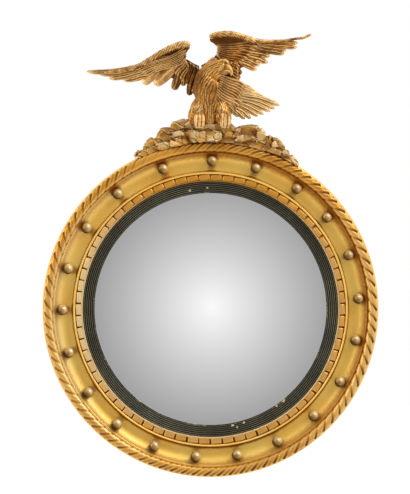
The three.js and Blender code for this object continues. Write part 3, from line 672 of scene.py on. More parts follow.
# Its pale beige also gives the painted highlight, and its dark brown the painted shade.
ball_gilding = gilding("dull_gilt_balls", "#d0a964", "#ad8342", "#f2deb6", "#452a0a", patch=14,
                       metal=0.4, rough=0.38, grain=0.4)
for number, middle in enumerate(ball_middles, 1):
    bpy.ops.object.select_all(action="DESELECT")
    bpy.ops.mesh.primitive_uv_sphere_add(segments=40, ring_count=24, radius=ball_radius / 1000)
    ball = bpy.context.object
    ball.name = ball.data.name = f"gilt_ball_{number:02d}"
    outward = Vector((middle.x, 0, middle.z)).normalized()
    seat = (outward * seat_out + Vector((0, seat_back, 0))).normalized()
    for corner in ball.data.vertices:  # a little uneven, and flat where it is glued
        away = corner.co.normalized()
        reach = ball_radius + 0.18 * noise.noise(away * 2.2 + middle)
        towards = away.dot(seat)
        if towards > seat_wide:
            reach = max(reach, 11.5 / towards * 0.985)
        corner.co = away * reach / 1000
    ball.data.transform(Matrix.Translation(middle / 1000))
    bpy.ops.object.shade_smooth()

    # Painted shade round the seat and on the lower left, with some grime.
    def ball_shade_and_grime(co):
        below = max(0.0, (middle.x + middle.z - co.x - co.z) / ball_radius)
        at_seat = max(0.0, (co - middle).normalized().dot(seat) + 0.25)
        return 1.1 * at_seat + 0.3 * noise.noise(co / 5) - 0.1 + 0.5 * below

    mark(ball, "hollow", ball_shade_and_grime)
    # Painted highlight towards the upper right, painted shade towards the lower left.
    mark(ball, "tone", lambda co: 0.9 * (co.x + co.z - middle.x - middle.z - 3) / ball_radius)
    fit(ball, ball_gilding, "gilt_balls", f"ball_{number:02d}")


# ---- Rockwork: carved pine, gilded ----------------------------------------------------------
# Rocks cut with broad flats by a carver's chisel, in three pieces that sit on the ring's side and
# against the rope. The rocks of a piece are one block of wood, so they are melted together before
# the tool marks are cut. Dust lies on their tops, grime and painted shade between them, and
# patches of painted shadow and painted highlight over them.
def mark_hollows(piece, gain, rounds):
    """Marks "hollow" from the mesh itself: how far each corner lies below its neighbours,
    smoothed over a few rounds. The gilding darkens these hollows with grime and painted shade."""
    mesh = piece.data
    count = len(mesh.vertices)
    places, normals = np.empty(count * 3), np.empty(count * 3)
    ends = np.empty(len(mesh.edges) * 2, int)
    mesh.vertices.foreach_get("co", places)
    mesh.vertices.foreach_get("normal", normals)
    mesh.edges.foreach_get("vertices", ends)
    places, normals = places.reshape(-1, 3), normals.reshape(-1, 3)
    a, b = ends[::2], ends[1::2]
    links = np.maximum(np.bincount(ends, minlength=count), 1)

    def spread(values):
        total = np.zeros_like(values)
        np.add.at(total, a, values[b])
        np.add.at(total, b, values[a])
        return total / (links if values.ndim == 1 else links[:, None])

    dip = ((spread(places) - places) * normals).sum(1) * 1000
    for _ in range(rounds):
        dip = 0.5 * dip + 0.5 * spread(dip)
    layer = mesh.attributes.new("hollow", "FLOAT", "POINT")
    layer.data.foreach_set("value", np.clip(dip * gain, -1, 1).astype(np.float32))


def melted(pieces, name, size):
    """Joins solids into one skin of the given mesh size."""
    whole = joined(pieces, name)
    skin = whole.modifiers.new("skin", "REMESH")
    skin.mode = "VOXEL"
    skin.voxel_size = size / 1000
    bpy.ops.object.modifier_apply(modifier="skin")
    bpy.ops.object.shade_smooth()
    return whole


# Each rock: depth of its front flat, how far that is pushed to the right and up, its share of
# the outline's size, and the outline in x and z.
rocks = [
    (56, -1, 2, 0.8, [(-165, 313), (-163, 325), (-155, 334), (-141, 337), (-130, 331), (-132, 319),
                      (-149, 308)]),
    (58, 2, -2, 0.75, [(-143, 335), (-142, 344), (-136, 356), (-128, 360), (-115, 361), (-108, 352),
                       (-113, 337), (-127, 331)]),
    (58, 3, -3, 0.75, [(-116, 357), (-114, 368), (-108, 379), (-100, 384), (-86, 383), (-81, 369),
                       (-88, 355), (-111, 350)]),
    (70, 2, -3, 0.85, [(-113, 348), (-100, 356), (-85, 352), (-82, 341), (-98, 336), (-112, 336)]),
    (60, -2, -2, 0.85, [(-87, 376), (-84, 391), (-79, 396), (-64, 399), (-47, 403), (-45, 386),
                        (-54, 373), (-79, 372)]),
    (71, -3, 2, 0.75, [(-87, 362), (-81, 372), (-64, 374), (-52, 374), (-46, 352), (-49, 344),
                       (-64, 346)]),
    (73, -3, 0, 0.7, [(-86, 359), (-74, 356), (-58, 346), (-60, 340), (-81, 342)]),
    (62, 0, 0, 0.75, [(-56, 390), (-43, 400), (-31, 394), (-28, 375), (-41, 370), (-54, 373)]),
    (72, 1, 2, 0.85, [(-58, 372), (-39, 378), (-26, 376), (-25, 350), (-36, 348), (-50, 360)]),
    (70, 0, 1, 0.85, [(-26, 373), (-12, 376), (-10, 351), (-24, 349)]),
    (74, 1, 2, 0.85, [(-11, 374), (5, 377), (22, 373), (25, 354), (7, 349), (-10, 350)]),
    (66, 0, 0, 0.95, [(-47, 379), (-37, 390), (-9, 385), (24, 385), (45, 390), (49, 377), (24, 369),
                      (-31, 369)]),
    (70, -1, 2, 0.75, [(21, 375), (32, 384), (47, 387), (56, 377), (49, 362), (30, 361)]),
    (75, 2, 2, 0.65, [(47, 361), (53, 382), (63, 384), (64, 368), (55, 358)]),
    (60, -1, -2, 0.85, [(58, 384), (70, 389), (87, 390), (102, 386), (100, 369), (83, 363),
                        (60, 365)]),
    (68, 1, -3, 0.75, [(95, 381), (108, 381), (116, 374), (117, 354), (110, 341), (95, 343),
                       (97, 366)]),
    (70, -2, 1, 0.75, [(49, 354), (68, 367), (91, 366), (103, 357), (83, 354), (62, 349)]),
    (58, 0, -2, 0.85, [(112, 365), (125, 368), (134, 361), (132, 342), (115, 340)]),
    (72, 0, 1, 0.7, [(127, 349), (136, 356), (144, 341), (129, 338)]),
    (62, -1, -1, 0.8, [(129, 363), (140, 362), (150, 354), (157, 342), (152, 335), (136, 336)]),
    (66, 0, 0, 0.85, [(108, 341), (129, 340), (152, 333), (148, 322), (129, 330), (108, 335)]),
    (66, 0, 0, 0.85, [(149, 329), (152, 336), (158, 338), (165, 335), (167, 328), (163, 321),
                      (154, 321)]),
    (56, 0, 0, 0.8, [(161, 321), (172, 327), (181, 318), (186, 308), (189, 297), (178, 298),
                     (165, 310)]),
]
# Where each pile starts and ends, in degrees clockwise from the top. They overlap by a hair.
rocks_start, rocks_end = -26.45, 31.45
spans = {"rock_left": (rocks_start, -9.27), "rock_centre": (-9.33, 9.33),
         "rock_right": (9.27, rocks_end)}
bed_inside, bed_back, bed_front = 351, 8.6, 62
ring_side, rope_side = 355.1, 349.4  # how near the axis a rock comes, behind and in front
# Patches of painted shadow, with a negative tone, and of painted highlight, with a positive
# one: x, z, half width, half height and tone.
rock_shadows_and_highlights = [
    (-51, 361, 13, 8, -1.0), (-67, 374, 18, 2.5, -1.0), (39, 358, 15, 6, -1.0),
    (93, 373, 7, 6, -0.9), (82, 350, 17, 6, -0.8), (119, 354, 8, 12, -0.7),
    (158, 320, 11, 3, -1.0), (75, 377, 22, 7, -0.35), (-99, 372, 12, 8, -0.4),
    (-130, 350, 12, 8, -0.3), (-99, 346, 14, 7, 0.6), (-73, 352, 15, 8, 0.35),
    (-36, 362, 10, 14, 0.45), (-17, 362, 8, 14, 0.3), (6, 362, 16, 14, 0.45),
    (56, 374, 6, 12, 0.6), (105, 364, 7, 18, 0.45), (72, 360, 20, 4, 0.4),
    (134, 347, 6, 8, 0.7), (146, 344, 7, 9, 0.3), (157, 330, 8, 6, 0.9),
    (172, 312, 9, 11, 0.5), (-70, 385, 14, 8, -0.15), (-152, 322, 10, 8, 0.4)]


def rock(front, push_x, push_z, share, outline):
    """One rock: the hull of its outline at two depths and of the tilted flat in front, which
    keeps nearly its whole size beside the ring."""
    x_middle, z_middle = (sum(p[k] for p in outline) / len(outline) for k in (0, 1))
    corners = [(x, z, 12) for x, z in outline] + [(x, z, front - 7) for x, z in outline]
    tilt_x, tilt_z = chance.uniform(-0.35, 0.35), chance.uniform(-0.15, 0.35)
    for x, z in outline:
        kept = 0.92 if math.hypot(x, z) < 361 else share
        x = x_middle + push_x + kept * (x - x_middle)
        z = z_middle + push_z + kept * (z - z_middle)
        depth = front - abs(tilt_x) * 6 + tilt_x * (x - x_middle) + tilt_z * (z - z_middle)
        corners.append((x, z, min(depth, front + 1.5)))
    stone = outlined("stone", corners)
    bpy.ops.object.mode_set(mode="EDIT")
    bpy.ops.mesh.select_all(action="SELECT")
    bpy.ops.mesh.convex_hull()
    faces_out()
    return stone


def chisel_flat(place):
    """The tool mark at this place, about 24 mm wide and 14 high: how far its face stands in or
    out, and its own tone."""
    cell = Vector(((place.x + 0.6 * place.z) / 24, place.y / 30, place.z / 14))
    near, centres = noise.voronoi(cell)
    tilt = noise.noise(centres[0] * 7.3)
    offset = cell - centres[0]
    return 0.6 * (near[1] - near[0]) - 0.6 + 8 * tilt * (offset.x + offset.z), tilt


def rock_tone(co):
    """Each tool mark's own tone, and the patches of painted shadow and painted highlight."""
    tone = 0.9 * chisel_flat(co)[1] + 0.35 * noise.noise(co / 14) + 0.1
    for x, z, wide, high, patch in rock_shadows_and_highlights:
        reach = ((co.x - x) / wide) ** 2 + ((co.z - z) / high) ** 2
        reach += 0.5 * noise.noise(co / 6)
        tone += patch * max(0.0, 1 - reach ** 2) if reach > 0 else patch
    return max(-1.0, min(1.0, tone))


# Its dark brown is also the painted shade between the rocks, and its pale colour the painted
# highlights.
rock_gilding = gilding("gilded_rockwork", "#d39a40", "#a87228", "#efd19a", "#74481a", patch=22,
                       metal=0.45, rough=0.45, grain=0.4, dust=0.75)
for pile, (from_angle, to_angle) in spans.items():
    first, last = math.radians(from_angle), math.radians(to_angle)

    def bed_point(u, v):
        """The bar behind the rocks of a pile, which thins towards the ends of the rockwork."""
        turn = first - 0.004 + (last - first + 0.008) * u
        ends = min(math.degrees(turn) - rocks_start, rocks_end - math.degrees(turn))
        top = 356 + 8 * max(0.0, min(1.0, ends / 4))
        section = [(bed_inside, bed_back), (top, bed_back), (top, bed_front),
                   (bed_inside, bed_front), (bed_inside, bed_back)]
        radius, depth = section[round(v * 4)]
        return Vector((radius * math.sin(turn), -depth, radius * math.cos(turn)))

    bed = surface(pile + "_bed", 24, 4, bed_point)
    bpy.ops.object.mode_set(mode="EDIT")
    bpy.ops.mesh.select_all(action="SELECT")
    bpy.ops.mesh.fill_holes(sides=0)
    faces_out()
    stones = [rock(*spec) for spec in rocks
              if any(first < math.atan2(x, z) < last for x, z in spec[4])]
    carved = melted(stones + [bed], "carved_" + pile, 1.5)
    normals = [corner.normal.copy() for corner in carved.data.vertices]
    for corner, normal in zip(carved.data.vertices, normals):
        place = corner.co * 1000
        corner.co = (place + normal * chisel_flat(place)[0]) / 1000
    for angle, side in ((first, -1), (last, 1)):
        bpy.ops.object.mode_set(mode="EDIT")
        bpy.ops.mesh.select_all(action="SELECT")
        bpy.ops.mesh.bisect(plane_co=(0, 0, 0), use_fill=True, clear_outer=True,
                            plane_no=(side * math.cos(angle), 0, -side * math.sin(angle)))
        bpy.ops.object.mode_set(mode="OBJECT")
    for corner in carved.data.vertices:
        place = corner.co * 1000
        depth = max(8.4, -place.y)
        lowest = rope_side
        lowest += (ring_side - rope_side) * (bump(depth - 47, 6) if depth > 47 else 1)
        out = max(1.0, lowest / math.hypot(place.x, place.z))
        corner.co = Vector((place.x * out, -depth, place.z * out)) / 1000
    mark_hollows(carved, 4, 1)
    mark(carved, "tone", rock_tone)
    fit(carved, rock_gilding, "gilt_carving", pile)


# ---- Eagle's body: carved pine, gilded ------------------------------------------------------
# Belly, breast, neck and head are one carving that grows out of the rocks and leans to the
# right. Its feathers are long strokes of the gouge that follow the body up into the neck; the
# face and the hooked beak are smooth.
def along(stations, share):
    """A smooth curve through rows of numbers, at a share of the way from first to last."""
    at = max(0.0, min(1.0, share)) * (len(stations) - 1)
    i = min(int(at), len(stations) - 2)
    t = at - i
    p, q, r, s = (stations[max(0, min(len(stations) - 1, i + k))] for k in (-1, 0, 1, 2))
    return [0.5 * (2 * b + (c - a) * t + (2 * a - 5 * b + 4 * c - d) * t * t
                   + (3 * b - a - 3 * c + d) * t ** 3) for a, b, c, d in zip(p, q, r, s)]


def limb(name, stations, rows, columns, relief=None):
    """A round limb through stations of [x, z, depth, half width, half depth]. relief(u, v)
    lifts the skin in millimetres: u runs from foot to head, v round it with the front at 0.25."""
    def place(u, v):
        x, z, depth, wide, deep = along(stations, u)
        ahead, behind = along(stations, u + 0.02), along(stations, u - 0.02)
        run = Vector((ahead[0] - behind[0], behind[2] - ahead[2], ahead[1] - behind[1]))
        run.normalize()
        side = run.cross(Vector((0, -1, 0))).normalized()
        front = side.cross(run)
        near = min(u, 1 - u) / 0.04
        rounded = math.sqrt(max(0.0, 1 - (1 - near) ** 2)) if near < 1 else 1.0
        turn = 2 * math.pi * v
        out = side * math.cos(turn) * wide * rounded + front * math.sin(turn) * deep * rounded
        if relief and rounded > 0:
            out += out.normalized() * relief(u, v) * rounded
        return Vector((x, -depth, z)) + out
    return surface(name, rows, columns, place)


def stroked(around, rows, lift, lean, smooth_from=2.0):
    """Relief of long gouge strokes up a limb, each strand with its own breaks, and none past
    smooth_from."""
    lengths = [chance.uniform(0, 1) for _ in range(around)]

    def relief(u, v):
        ring = Vector((math.cos(2 * math.pi * v) * 1.6, math.sin(2 * math.pi * v) * 1.6, 3.2 * u))
        phase = v * around + lean * u + 1.5 * noise.noise(ring) + 0.5 * noise.noise(ring * 3)
        strand = math.floor(phase) % around
        across = abs(2 * (phase % 1) - 1)
        fall = (u * rows + lengths[strand]) % 1
        depth = lift * min(1.0, max(0.0, (smooth_from - u) / 0.12))
        return depth * ((1 - across ** 2) * (0.35 + 0.65 * math.sin(math.pi * fall) ** 0.4) - 0.6)
    return relief


trunk = [
    [0, 383, 50, 9, 11], [-1, 396, 49, 15, 18], [-3, 416, 49, 20, 24], [-4, 438, 51, 26, 29],
    [-4, 458, 54, 31, 32.5], [-2, 478, 58, 32, 31.5], [4, 493, 63, 27, 26.5],
    [13, 501, 70, 22, 20.5], [23, 505, 76, 18, 16], [32, 505, 81, 15, 13], [39, 504, 84, 10, 9]]
beak = [[32, 506, 84, 9.5, 9], [36, 504, 86, 8.2, 7.6], [40, 500.5, 88, 6.4, 6],
        [42.5, 496, 89, 4.6, 4.4], [43.5, 491.5, 89, 2.8, 2.8], [42.5, 488, 88, 1, 1.2]]
brow = [[14, 514, 84, 1.6, 1.4], [20, 519, 86, 2.8, 2.4], [28, 520, 88, 3, 2.8],
        [34, 517, 91, 2.6, 2.4], [37, 513, 93, 1.2, 1.2]]
cheek = [[17, 498, 88, 2, 2], [22, 503, 92, 4, 3], [26, 509, 93.5, 3.2, 2.4],
         [28, 513, 93, 1.5, 1.5]]
mouth = [[30, 497, 93, 1, 1], [35, 498, 95, 1.5, 1.2], [40, 495, 95, 0.8, 0.8]]
parts = [
    limb("eagle_trunk", trunk, 260, 230, stroked(30, 7, 3.2, lean=6.0, smooth_from=0.9)),
    limb("eagle_beak", beak, 40, 28), limb("eagle_brow", brow, 24, 16),
    limb("eagle_cheek", cheek, 24, 16), limb("eagle_mouth", mouth, 20, 14)]
body = melted(parts, "carved_eagle_body", 1.15)
mark_hollows(body, 8, 2)


def body_shade_highlight_and_tone(co):
    """Painted shade on the left shoulder and a painted highlight on the throat; darker on the belly
    and round the eye, and paler on the face and between the legs."""
    belly = bump((co.x - 4) / 34, 1) * bump((co.z - 458) / 36, 1)
    shoulder = bump((co.x + 30) / 26, 1) * bump((co.z - 478) / 44, 1)
    eye = bump(math.hypot(co.x - 30, (co.z - 508) / 3), 3.4)
    between = bump(co.x / 14, 1) * bump((co.z - 405) / 30, 1)
    throat = bump((co.x - 26) / 20, 1) * bump((co.z - 480) / 22, 1)
    face = bump((co.x - 36) / 14, 1)
    return 0.2 * face + 0.35 * throat - 0.4 * belly - shoulder - eye + 0.1 * between


mark(body, "tone", body_shade_highlight_and_tone)
eye_place, eye_radius = Vector((27.5, -93.5, 515.5)), 2.4
bpy.ops.object.select_all(action="DESELECT")
bpy.ops.mesh.primitive_uv_sphere_add(segments=20, ring_count=12, radius=eye_radius / 1000)
eye = bpy.context.object
eye.data.transform(Matrix.Translation(eye_place / 1000))
bpy.ops.object.shade_smooth()
mark(eye, "hollow", lambda co: 0.2)
# Its pale colour also gives the painted highlights on the eagle, and its dark brown the painted
# shade.
eagle_gilding = gilding("gilded_eagle", "#ca8a30", "#8f5614", "#efcb8c", "#5c3208", patch=24,
                        metal=0.55, rough=0.42, grain=0.35, dust=0.2)
fit(joined([body, eye], "carved_eagle_body"), eagle_gilding, "gilt_carving", "eagle_body")


# ---- Eagle's legs ----------------------------------------------------------------------------
# Feathered thighs, each with a foot of three long toes side by side, rubbed pale.
for side, name in ((-1, "left_leg"), (1, "right_leg")):
    thigh = [[side * 13, 450, 52, 11.5, 12.5], [side * 21 - 1, 430, 55, 16.5, 17.5],
             [side * 27 - 2, 411, 57, 17.5, 17.5], [side * 28 - 1, 397, 58, 16.5, 14.5],
             [side * 27, 384, 58, 10.5, 10.5]]
    heel = side * 27 + 4
    parts = [limb(name + "_thigh", thigh, 120, 120, stroked(18, 3, 2.4, lean=2.0))]
    for spread in (-7.5, 0, 7.5):
        toe = [[heel + spread * 0.5, 415, 66, 4.4, 4.6], [heel + spread * 0.9, 404, 75, 4.6, 4.8],
               [heel + spread, 394, 78, 4.3, 4.6], [heel + spread * 0.95, 385, 79.5, 3.6, 4],
               [heel + spread * 0.7, 379, 80, 2, 2]]
        parts.append(limb(name + "_toe", toe, 36, 20))
    leg = melted(parts, "carved_" + name, 1.1)
    mark_hollows(leg, 9, 2)
    mark(leg, "tone", lambda co: 0.4 * bump((co.x - heel) / 15, 1) * bump((-co.y - 80) / 12, 1)
         + 0.7 * noise.noise(co / 7))
    fit(leg, eagle_gilding, "gilt_carving", name)


# ---- Eagle's wings and tail ------------------------------------------------------------------
# Each wing is carved from a board: a rolled leading edge with slanting cuts, long wavy strands
# below it, and flight feathers whose grooves run from quill to tip. The strands and the tail are
# painted pale as highlights, and what lies under the rolled edge and behind the shoulders is
# painted dark as shade.
def feather(root, tip, width, bow, thick=6.0, grooves=2.5, rows=26, tone=0.0, sway=0.0):
    """One feather from root to tip, each [x, z, depth]. It bows sideways by bow millimetres and
    sways to both sides by sway. The first 0.7 of its way round is the grooved face."""
    widths = [[0.5], [0.7], [0.86], [0.96], [1.0], [0.96], [0.86], [0.66]]
    face = 0.7
    phase = chance.uniform(-0.5, 0.5)
    run = Vector((tip[0] - root[0], root[2] - tip[2], tip[1] - root[1]))
    length = run.length
    run.normalize()
    side = run.cross(Vector((0, -1, 0))).normalized()
    front = side.cross(run)
    start = Vector((root[0], -root[2], root[1]))

    outwards = -math.copysign(1, side.z or 1)

    def shift(u):
        return side * outwards * (4 * bow * u * (1 - u) + sway * math.sin(2 * math.pi * u))

    def place(u, v):
        blunt = math.sqrt(max(0.0, 1 - ((u - 0.9) / 0.1) ** 2)) if u > 0.9 else 1.0
        if u < 0.05:
            blunt = math.sqrt(max(0.0, 1 - (1 - u / 0.05) ** 2))
        half = width / 2 * along(widths, u)[0] * blunt
        across = 1 - 2 * v / face if v < face else -1 + 2 * (v - face) / (1 - face)
        deep = thick * (1 - u / 2)
        if v < face:
            crown = deep * (1 - abs(across) ** 2.4)
            slant = across + 0.3 * noise.noise(Vector((3.5 * u, 3 * phase, 0)))
            cuts = 0.9 * math.cos(math.pi * grooves * slant)
            quill = 1.0 * bump(across, 0.13) * (1 - u)
            rise = crown * blunt + (cuts * (1 - across ** 4) + quill) * blunt
        else:
            rise = -0.7 * deep * (1 - across ** 2) * blunt
        return start + run * length * u + shift(u) + side * across * half + front * rise
    made = surface("feather", rows, 30, place)
    mark_hollows(made, 9, 2)
    for corner, item in zip(made.data.vertices, made.data.attributes["hollow"].data):
        offset = corner.co * 1000 - start
        u = max(0.0, min(1.0, offset.dot(run) / length))
        across = abs((offset - shift(u)).dot(side)) / (width / 2)
        # Painted shade along the feather's edges, where it meets its neighbours, and at its root.
        item.value += 0.8 * bump(across - 1, 0.34) + 0.15 * max(0.0, 0.3 - u) / 0.3
    shade = tone + chance.uniform(-0.2, 0.2)
    mark(made, "tone", lambda co: shade + 0.25 * noise.noise(co / 9))
    return made


def fan(first, last, count, width, bows=(0, 0), thick=6.5, tone=0.0, sway=0.0):
    """Narrow strands side by side, from the first root and tip to the last root and tip."""
    made = []
    for i in range(count):
        t = i / (count - 1)
        root, tip = ([a + (b - a) * t + chance.uniform(-0.9, 0.9) for a, b in zip(p, q)]
                     for p, q in zip(first, last))
        bow = bows[0] + (bows[1] - bows[0]) * t
        made.append(feather(root, tip, width * chance.uniform(0.9, 1.1), bow, thick, grooves=1,
                            rows=22, tone=tone + chance.uniform(-0.3, 0.3), sway=sway))
    return made


def board(name, outline, back, front):
    """A carved board between two depths, from its outline in x and z, painted dark as shade, for it
    lies under the rolled edge and behind the feathers.
    """
    piece = outlined(name, [(x, z, back) for x, z in outline], fill="NGON")
    forward = (0, (back - front) / 1000, 0)
    bpy.ops.object.mode_set(mode="EDIT")
    bpy.ops.mesh.select_all(action="SELECT")
    bpy.ops.mesh.extrude_region_move(TRANSFORM_OT_translate={"value": forward})
    faces_out()
    bpy.ops.object.shade_smooth_by_angle(angle=math.radians(35))
    mark(piece, "hollow", lambda co: 0.5)
    mark(piece, "tone", lambda co: -0.6)
    return piece


def rolled_edge(name, stations, stripes, lean, tone):
    """A wing's rolled leading edge with fine slanting cuts of uneven width across it."""
    def cuts(u, v):
        at = stripes * (u + 0.012 * math.sin(19 * u) + 0.008 * math.sin(47 * u))
        return -0.7 * abs(math.cos(math.pi * (at + lean * math.cos(2 * math.pi * v)))) ** 3
    roll = limb(name, stations, 150, 30, cuts)
    mark_hollows(roll, 9, 2)
    mark(roll, "tone", tone)
    return roll


# The flight feathers of a wing, from its tip to the shoulder: root, tip, width and bow, and of
# the two broad ones also the thickness and the grooves.
left_long = [
    ([-112, 529, 46], [-264, 504, 26], 12, 11), ([-112, 520, 45], [-237, 498, 27], 14, 6),
    ([-112, 512, 45], [-216, 489, 28], 14, 4), ([-110, 505, 45], [-185, 485, 30], 15, 3),
    ([-100, 520, 42], [-143, 476, 37], 23, 0, 8, 1.7),
    ([-67, 520, 43], [-119, 474, 39], 24, 1, 9, 1.7),
    ([-60, 511, 44], [-78, 463, 39], 19, 0), ([-50, 505, 45], [-59, 471, 41], 14, 0),
    ([-38, 501, 45], [-45, 451, 42], 16, 0)]
left_edge = [
    [-42, 557, 54, 5, 7], [-54, 558, 55, 7.5, 9], [-68, 555, 55, 8, 9], [-85, 549, 54, 7.5, 9],
    [-106, 539, 52, 6.5, 8], [-128, 526, 49, 6, 7], [-149, 515, 46, 5, 6], [-170, 508, 43, 4.5, 5],
    [-196, 503, 39, 3.5, 4], [-225, 501, 35, 3, 3]]
left_board = [
    (-24, 514), (-35, 519), (-43, 524), (-52, 529), (-54, 536), (-48, 547), (-43, 553), (-58, 558),
    (-81, 553), (-111, 538), (-124, 530), (-124, 500), (-111, 492), (-90, 492), (-69, 483),
    (-52, 477), (-34, 473), (-21, 489)]
# Each flight feather's tone; the three nearest the shoulder are painted dark as shade.
tones = [0.0, 0.1, 0.0, -0.1, 0.4, 0.1, -0.7, -0.3, -1.2]
parts = [board("left_wing_board", left_board, 35.5, 41)]
parts += [feather(*blade, tone=tone) for blade, tone in zip(left_long, tones)]
# The pale strands are painted highlights; the dark ones under the rolled edge and behind the
# shoulder are painted shade.
parts += fan([[-54, 552, 51], [-172, 509, 42]], [[-53, 521, 50], [-130, 489, 43]], 8, 5.4,
             (6, -3), tone=0.65, sway=2.6)
parts += fan([[-50, 547, 46], [-120, 526, 44]], [[-50, 534, 46], [-112, 510, 43]], 4, 7, (4, 0),
             tone=-0.4, sway=2.0)
parts += fan([[-52, 528, 52], [-80, 500, 46]], [[-46, 514, 52], [-58, 480, 46]], 5, 7, tone=0.35,
             sway=1.5)
parts += fan([[-44, 521, 51], [-51, 478, 46]], [[-26, 511, 51], [-36, 452, 46]], 6, 7.5, (2, 3),
             tone=-0.6, sway=2.0)
parts.append(rolled_edge("left_wing_roll", left_edge, 27, 1.2,
                         lambda co: 0.2 * bump((co.x + 62) / 40, 1) - 0.25 + noise.noise(co / 9)))
fit(joined(parts, "carved_left_wing"), eagle_gilding, "gilt_carving", "left_wing")

right_long = [
    ([105, 565, 46], [186, 564, 28], 11, 0), ([98, 560, 45], [184, 555, 28], 13, 0),
    ([86, 557, 44], [161, 548, 30], 12, 0), ([81, 553, 43], [157, 541, 30], 13, 0),
    ([56, 550, 45], [127, 535, 34], 14, 0), ([52, 545, 44], [122, 522, 34], 15, 0),
    ([43, 541, 45], [105, 516, 36], 14, 0), ([41, 535, 44], [98, 506, 36], 15, 0),
    ([43, 515, 46], [66, 497, 40], 13, 0), ([39, 507, 46], [62, 485, 47], 14, 0),
    ([35, 497, 47], [57, 480, 49], 13, 0)]
right_edge = [
    [-1, 571, 54, 4.5, 6], [7, 576, 56, 6.5, 8], [30, 579, 57, 7, 9], [51, 578, 56, 6.5, 8],
    [73, 572, 54, 6, 7], [96, 566, 51, 5.5, 6], [121, 565, 47, 4, 5], [151, 567, 42, 3, 4],
    [181, 572, 36, 3, 3], [198, 575, 31, 3.2, 3], [214, 583, 27, 2.4, 2]]
right_board = [
    (-2, 571), (0, 566), (7, 562), (14, 555), (15, 548), (13, 539), (7, 532), (1, 526), (-11, 520),
    (-20, 515), (-11, 490), (24, 484), (57, 485), (61, 493), (64, 510), (77, 515), (94, 524),
    (105, 532), (118, 543), (124, 552), (122, 562), (88, 566), (58, 574), (31, 581)]
# Each flight feather's tone; the three nearest the shoulder are painted dark as shade.
tones = [-0.3, -0.1, -0.2, -0.3, -0.1, -0.1, 0.0, 0.0, -0.4, -0.5, -0.6]
parts = [board("right_wing_board", right_board, 35.5, 41)]
parts += [feather(*blade, tone=tone) for blade, tone in zip(right_long, tones)]
parts += fan([[12, 557, 46], [108, 558, 45]], [[12, 538, 50], [62, 512, 45]], 9, 7, (-2, 3),
             sway=2.2)
parts += fan([[-10, 514, 52], [8, 531, 50]], [[2, 505, 54], [22, 524, 52]], 4, 8)
# These strands lie in the shadow behind the neck and are painted a little darker as shade.
parts += fan([[28, 528, 50], [60, 506, 46]], [[34, 500, 54], [58, 486, 50]], 4, 8, tone=-0.2)
# Two small volutes on the right shoulder.
curls = [[[46, 518, 53, 1.2, 1.2], [51, 520, 55, 1.7, 1.6], [56, 518, 55, 1.8, 1.7],
          [56, 513, 55, 1.7, 1.6], [52, 511, 54, 1.4, 1.4], [50, 514, 54, 1, 1]],
         [[48, 511, 53, 1.2, 1.2], [47, 507, 54, 1.7, 1.6], [50, 503, 55, 1.8, 1.7],
          [55, 503, 55, 1.7, 1.6], [58, 506, 54, 1.2, 1.2]]]
for curl in curls:
    volute = limb("volute", curl, 40, 14)
    mark(volute, "hollow", lambda co: 0.15)
    parts.append(volute)
parts.append(rolled_edge("right_wing_roll", right_edge, 33, -1.2,
                         lambda co: 0.3 * bump((co.x - 90) / 50, 1) - 0.25 + noise.noise(co / 9)))
fit(joined(parts, "carved_right_wing"), eagle_gilding, "gilt_carving", "right_wing")

tail_tips = [(91, 463), (101, 455), (107, 450), (120, 443), (125, 439), (147, 431), (137, 424),
             (127, 418), (113, 412), (101, 408), (86, 403), (73, 402), (60, 407), (50, 413)]
parts = []
# The tail's feathers and strands are painted pale as highlights.
for number, (x, z) in enumerate(tail_tips):
    share = number / (len(tail_tips) - 1)
    root = [25 - 13 * share, 478 - 30 * share, 37 + 6 * share]
    parts.append(feather(root, [x, z, 30 + 5 * share + number % 2], 13, 4 * share - 3, thick=7.0,
                         tone=0.5 + 0.15 * (number % 2), sway=1.5))
parts += fan([[21, 491, 83], [74, 471, 43]], [[11, 453, 80], [50, 422, 44]], 10, 6.2, (-2, 0),
             thick=5.5, tone=0.75, sway=1.5)
parts += fan([[34, 450, 60], [66, 436, 42]], [[22, 440, 62], [44, 410, 46]], 5, 6.5, tone=0.5,
             sway=1)
fit(joined(parts, "carved_tail"), eagle_gilding, "gilt_carving", "tail")


# ---- Back: pine board, blocks, batten and dowel ---------------------------------------------
# Unfinished softwood, brown with age: the board that closes the back, the blocks that hold the
# glass, the batten behind the rocks and the dowel in the eagle.
aged_pine, tree = blank_material("aged_pine")
coordinates = node(tree, "ShaderNodeTexCoord").outputs["Object"]
stretched = node(tree, "ShaderNodeMapping", {"Vector": coordinates, "Scale": (1.0, 1.0, 0.05)})
grain = node(tree, "ShaderNodeTexNoise", {
    "Vector": stretched.outputs[0], "Scale": 1000 / 9, "Detail": 4.0, "Roughness": 0.6,
    "Distortion": 0.6})
stains = node(tree, "ShaderNodeTexNoise", {
    "Vector": coordinates, "Scale": 1000 / 110, "Detail": 4.0, "Roughness": 0.55})
wood = node(tree, "ShaderNodeValToRGB", {"Fac": grain.outputs["Fac"]}, stops=[
    (0.3, "#7d5730"), (0.5, "#a67a48"), (0.7, "#bd935e")])
stained = node(tree, "ShaderNodeMapRange", {
    "Value": stains.outputs["Fac"], "From Min": 0.5, "From Max": 0.75, "To Max": 0.7})
colour = node(tree, "ShaderNodeMix", {
    "Factor": stained.outputs[0], 6: wood.outputs["Color"], 7: linear("#4f351b")},
    data_type="RGBA")
relief = node(tree, "ShaderNodeBump", {
    "Height": grain.outputs["Fac"], "Strength": 0.4, "Distance": 0.0006})
shader = node(tree, "ShaderNodeBsdfPrincipled", {
    "Base Color": colour.outputs[2], "Roughness": 0.78, "Normal": relief.outputs[0]})
node(tree, "ShaderNodeOutputMaterial", {"Surface": shader.outputs[0]})
glass_blocks = [f"glass_block_{number}" for number in range(1, 5)]
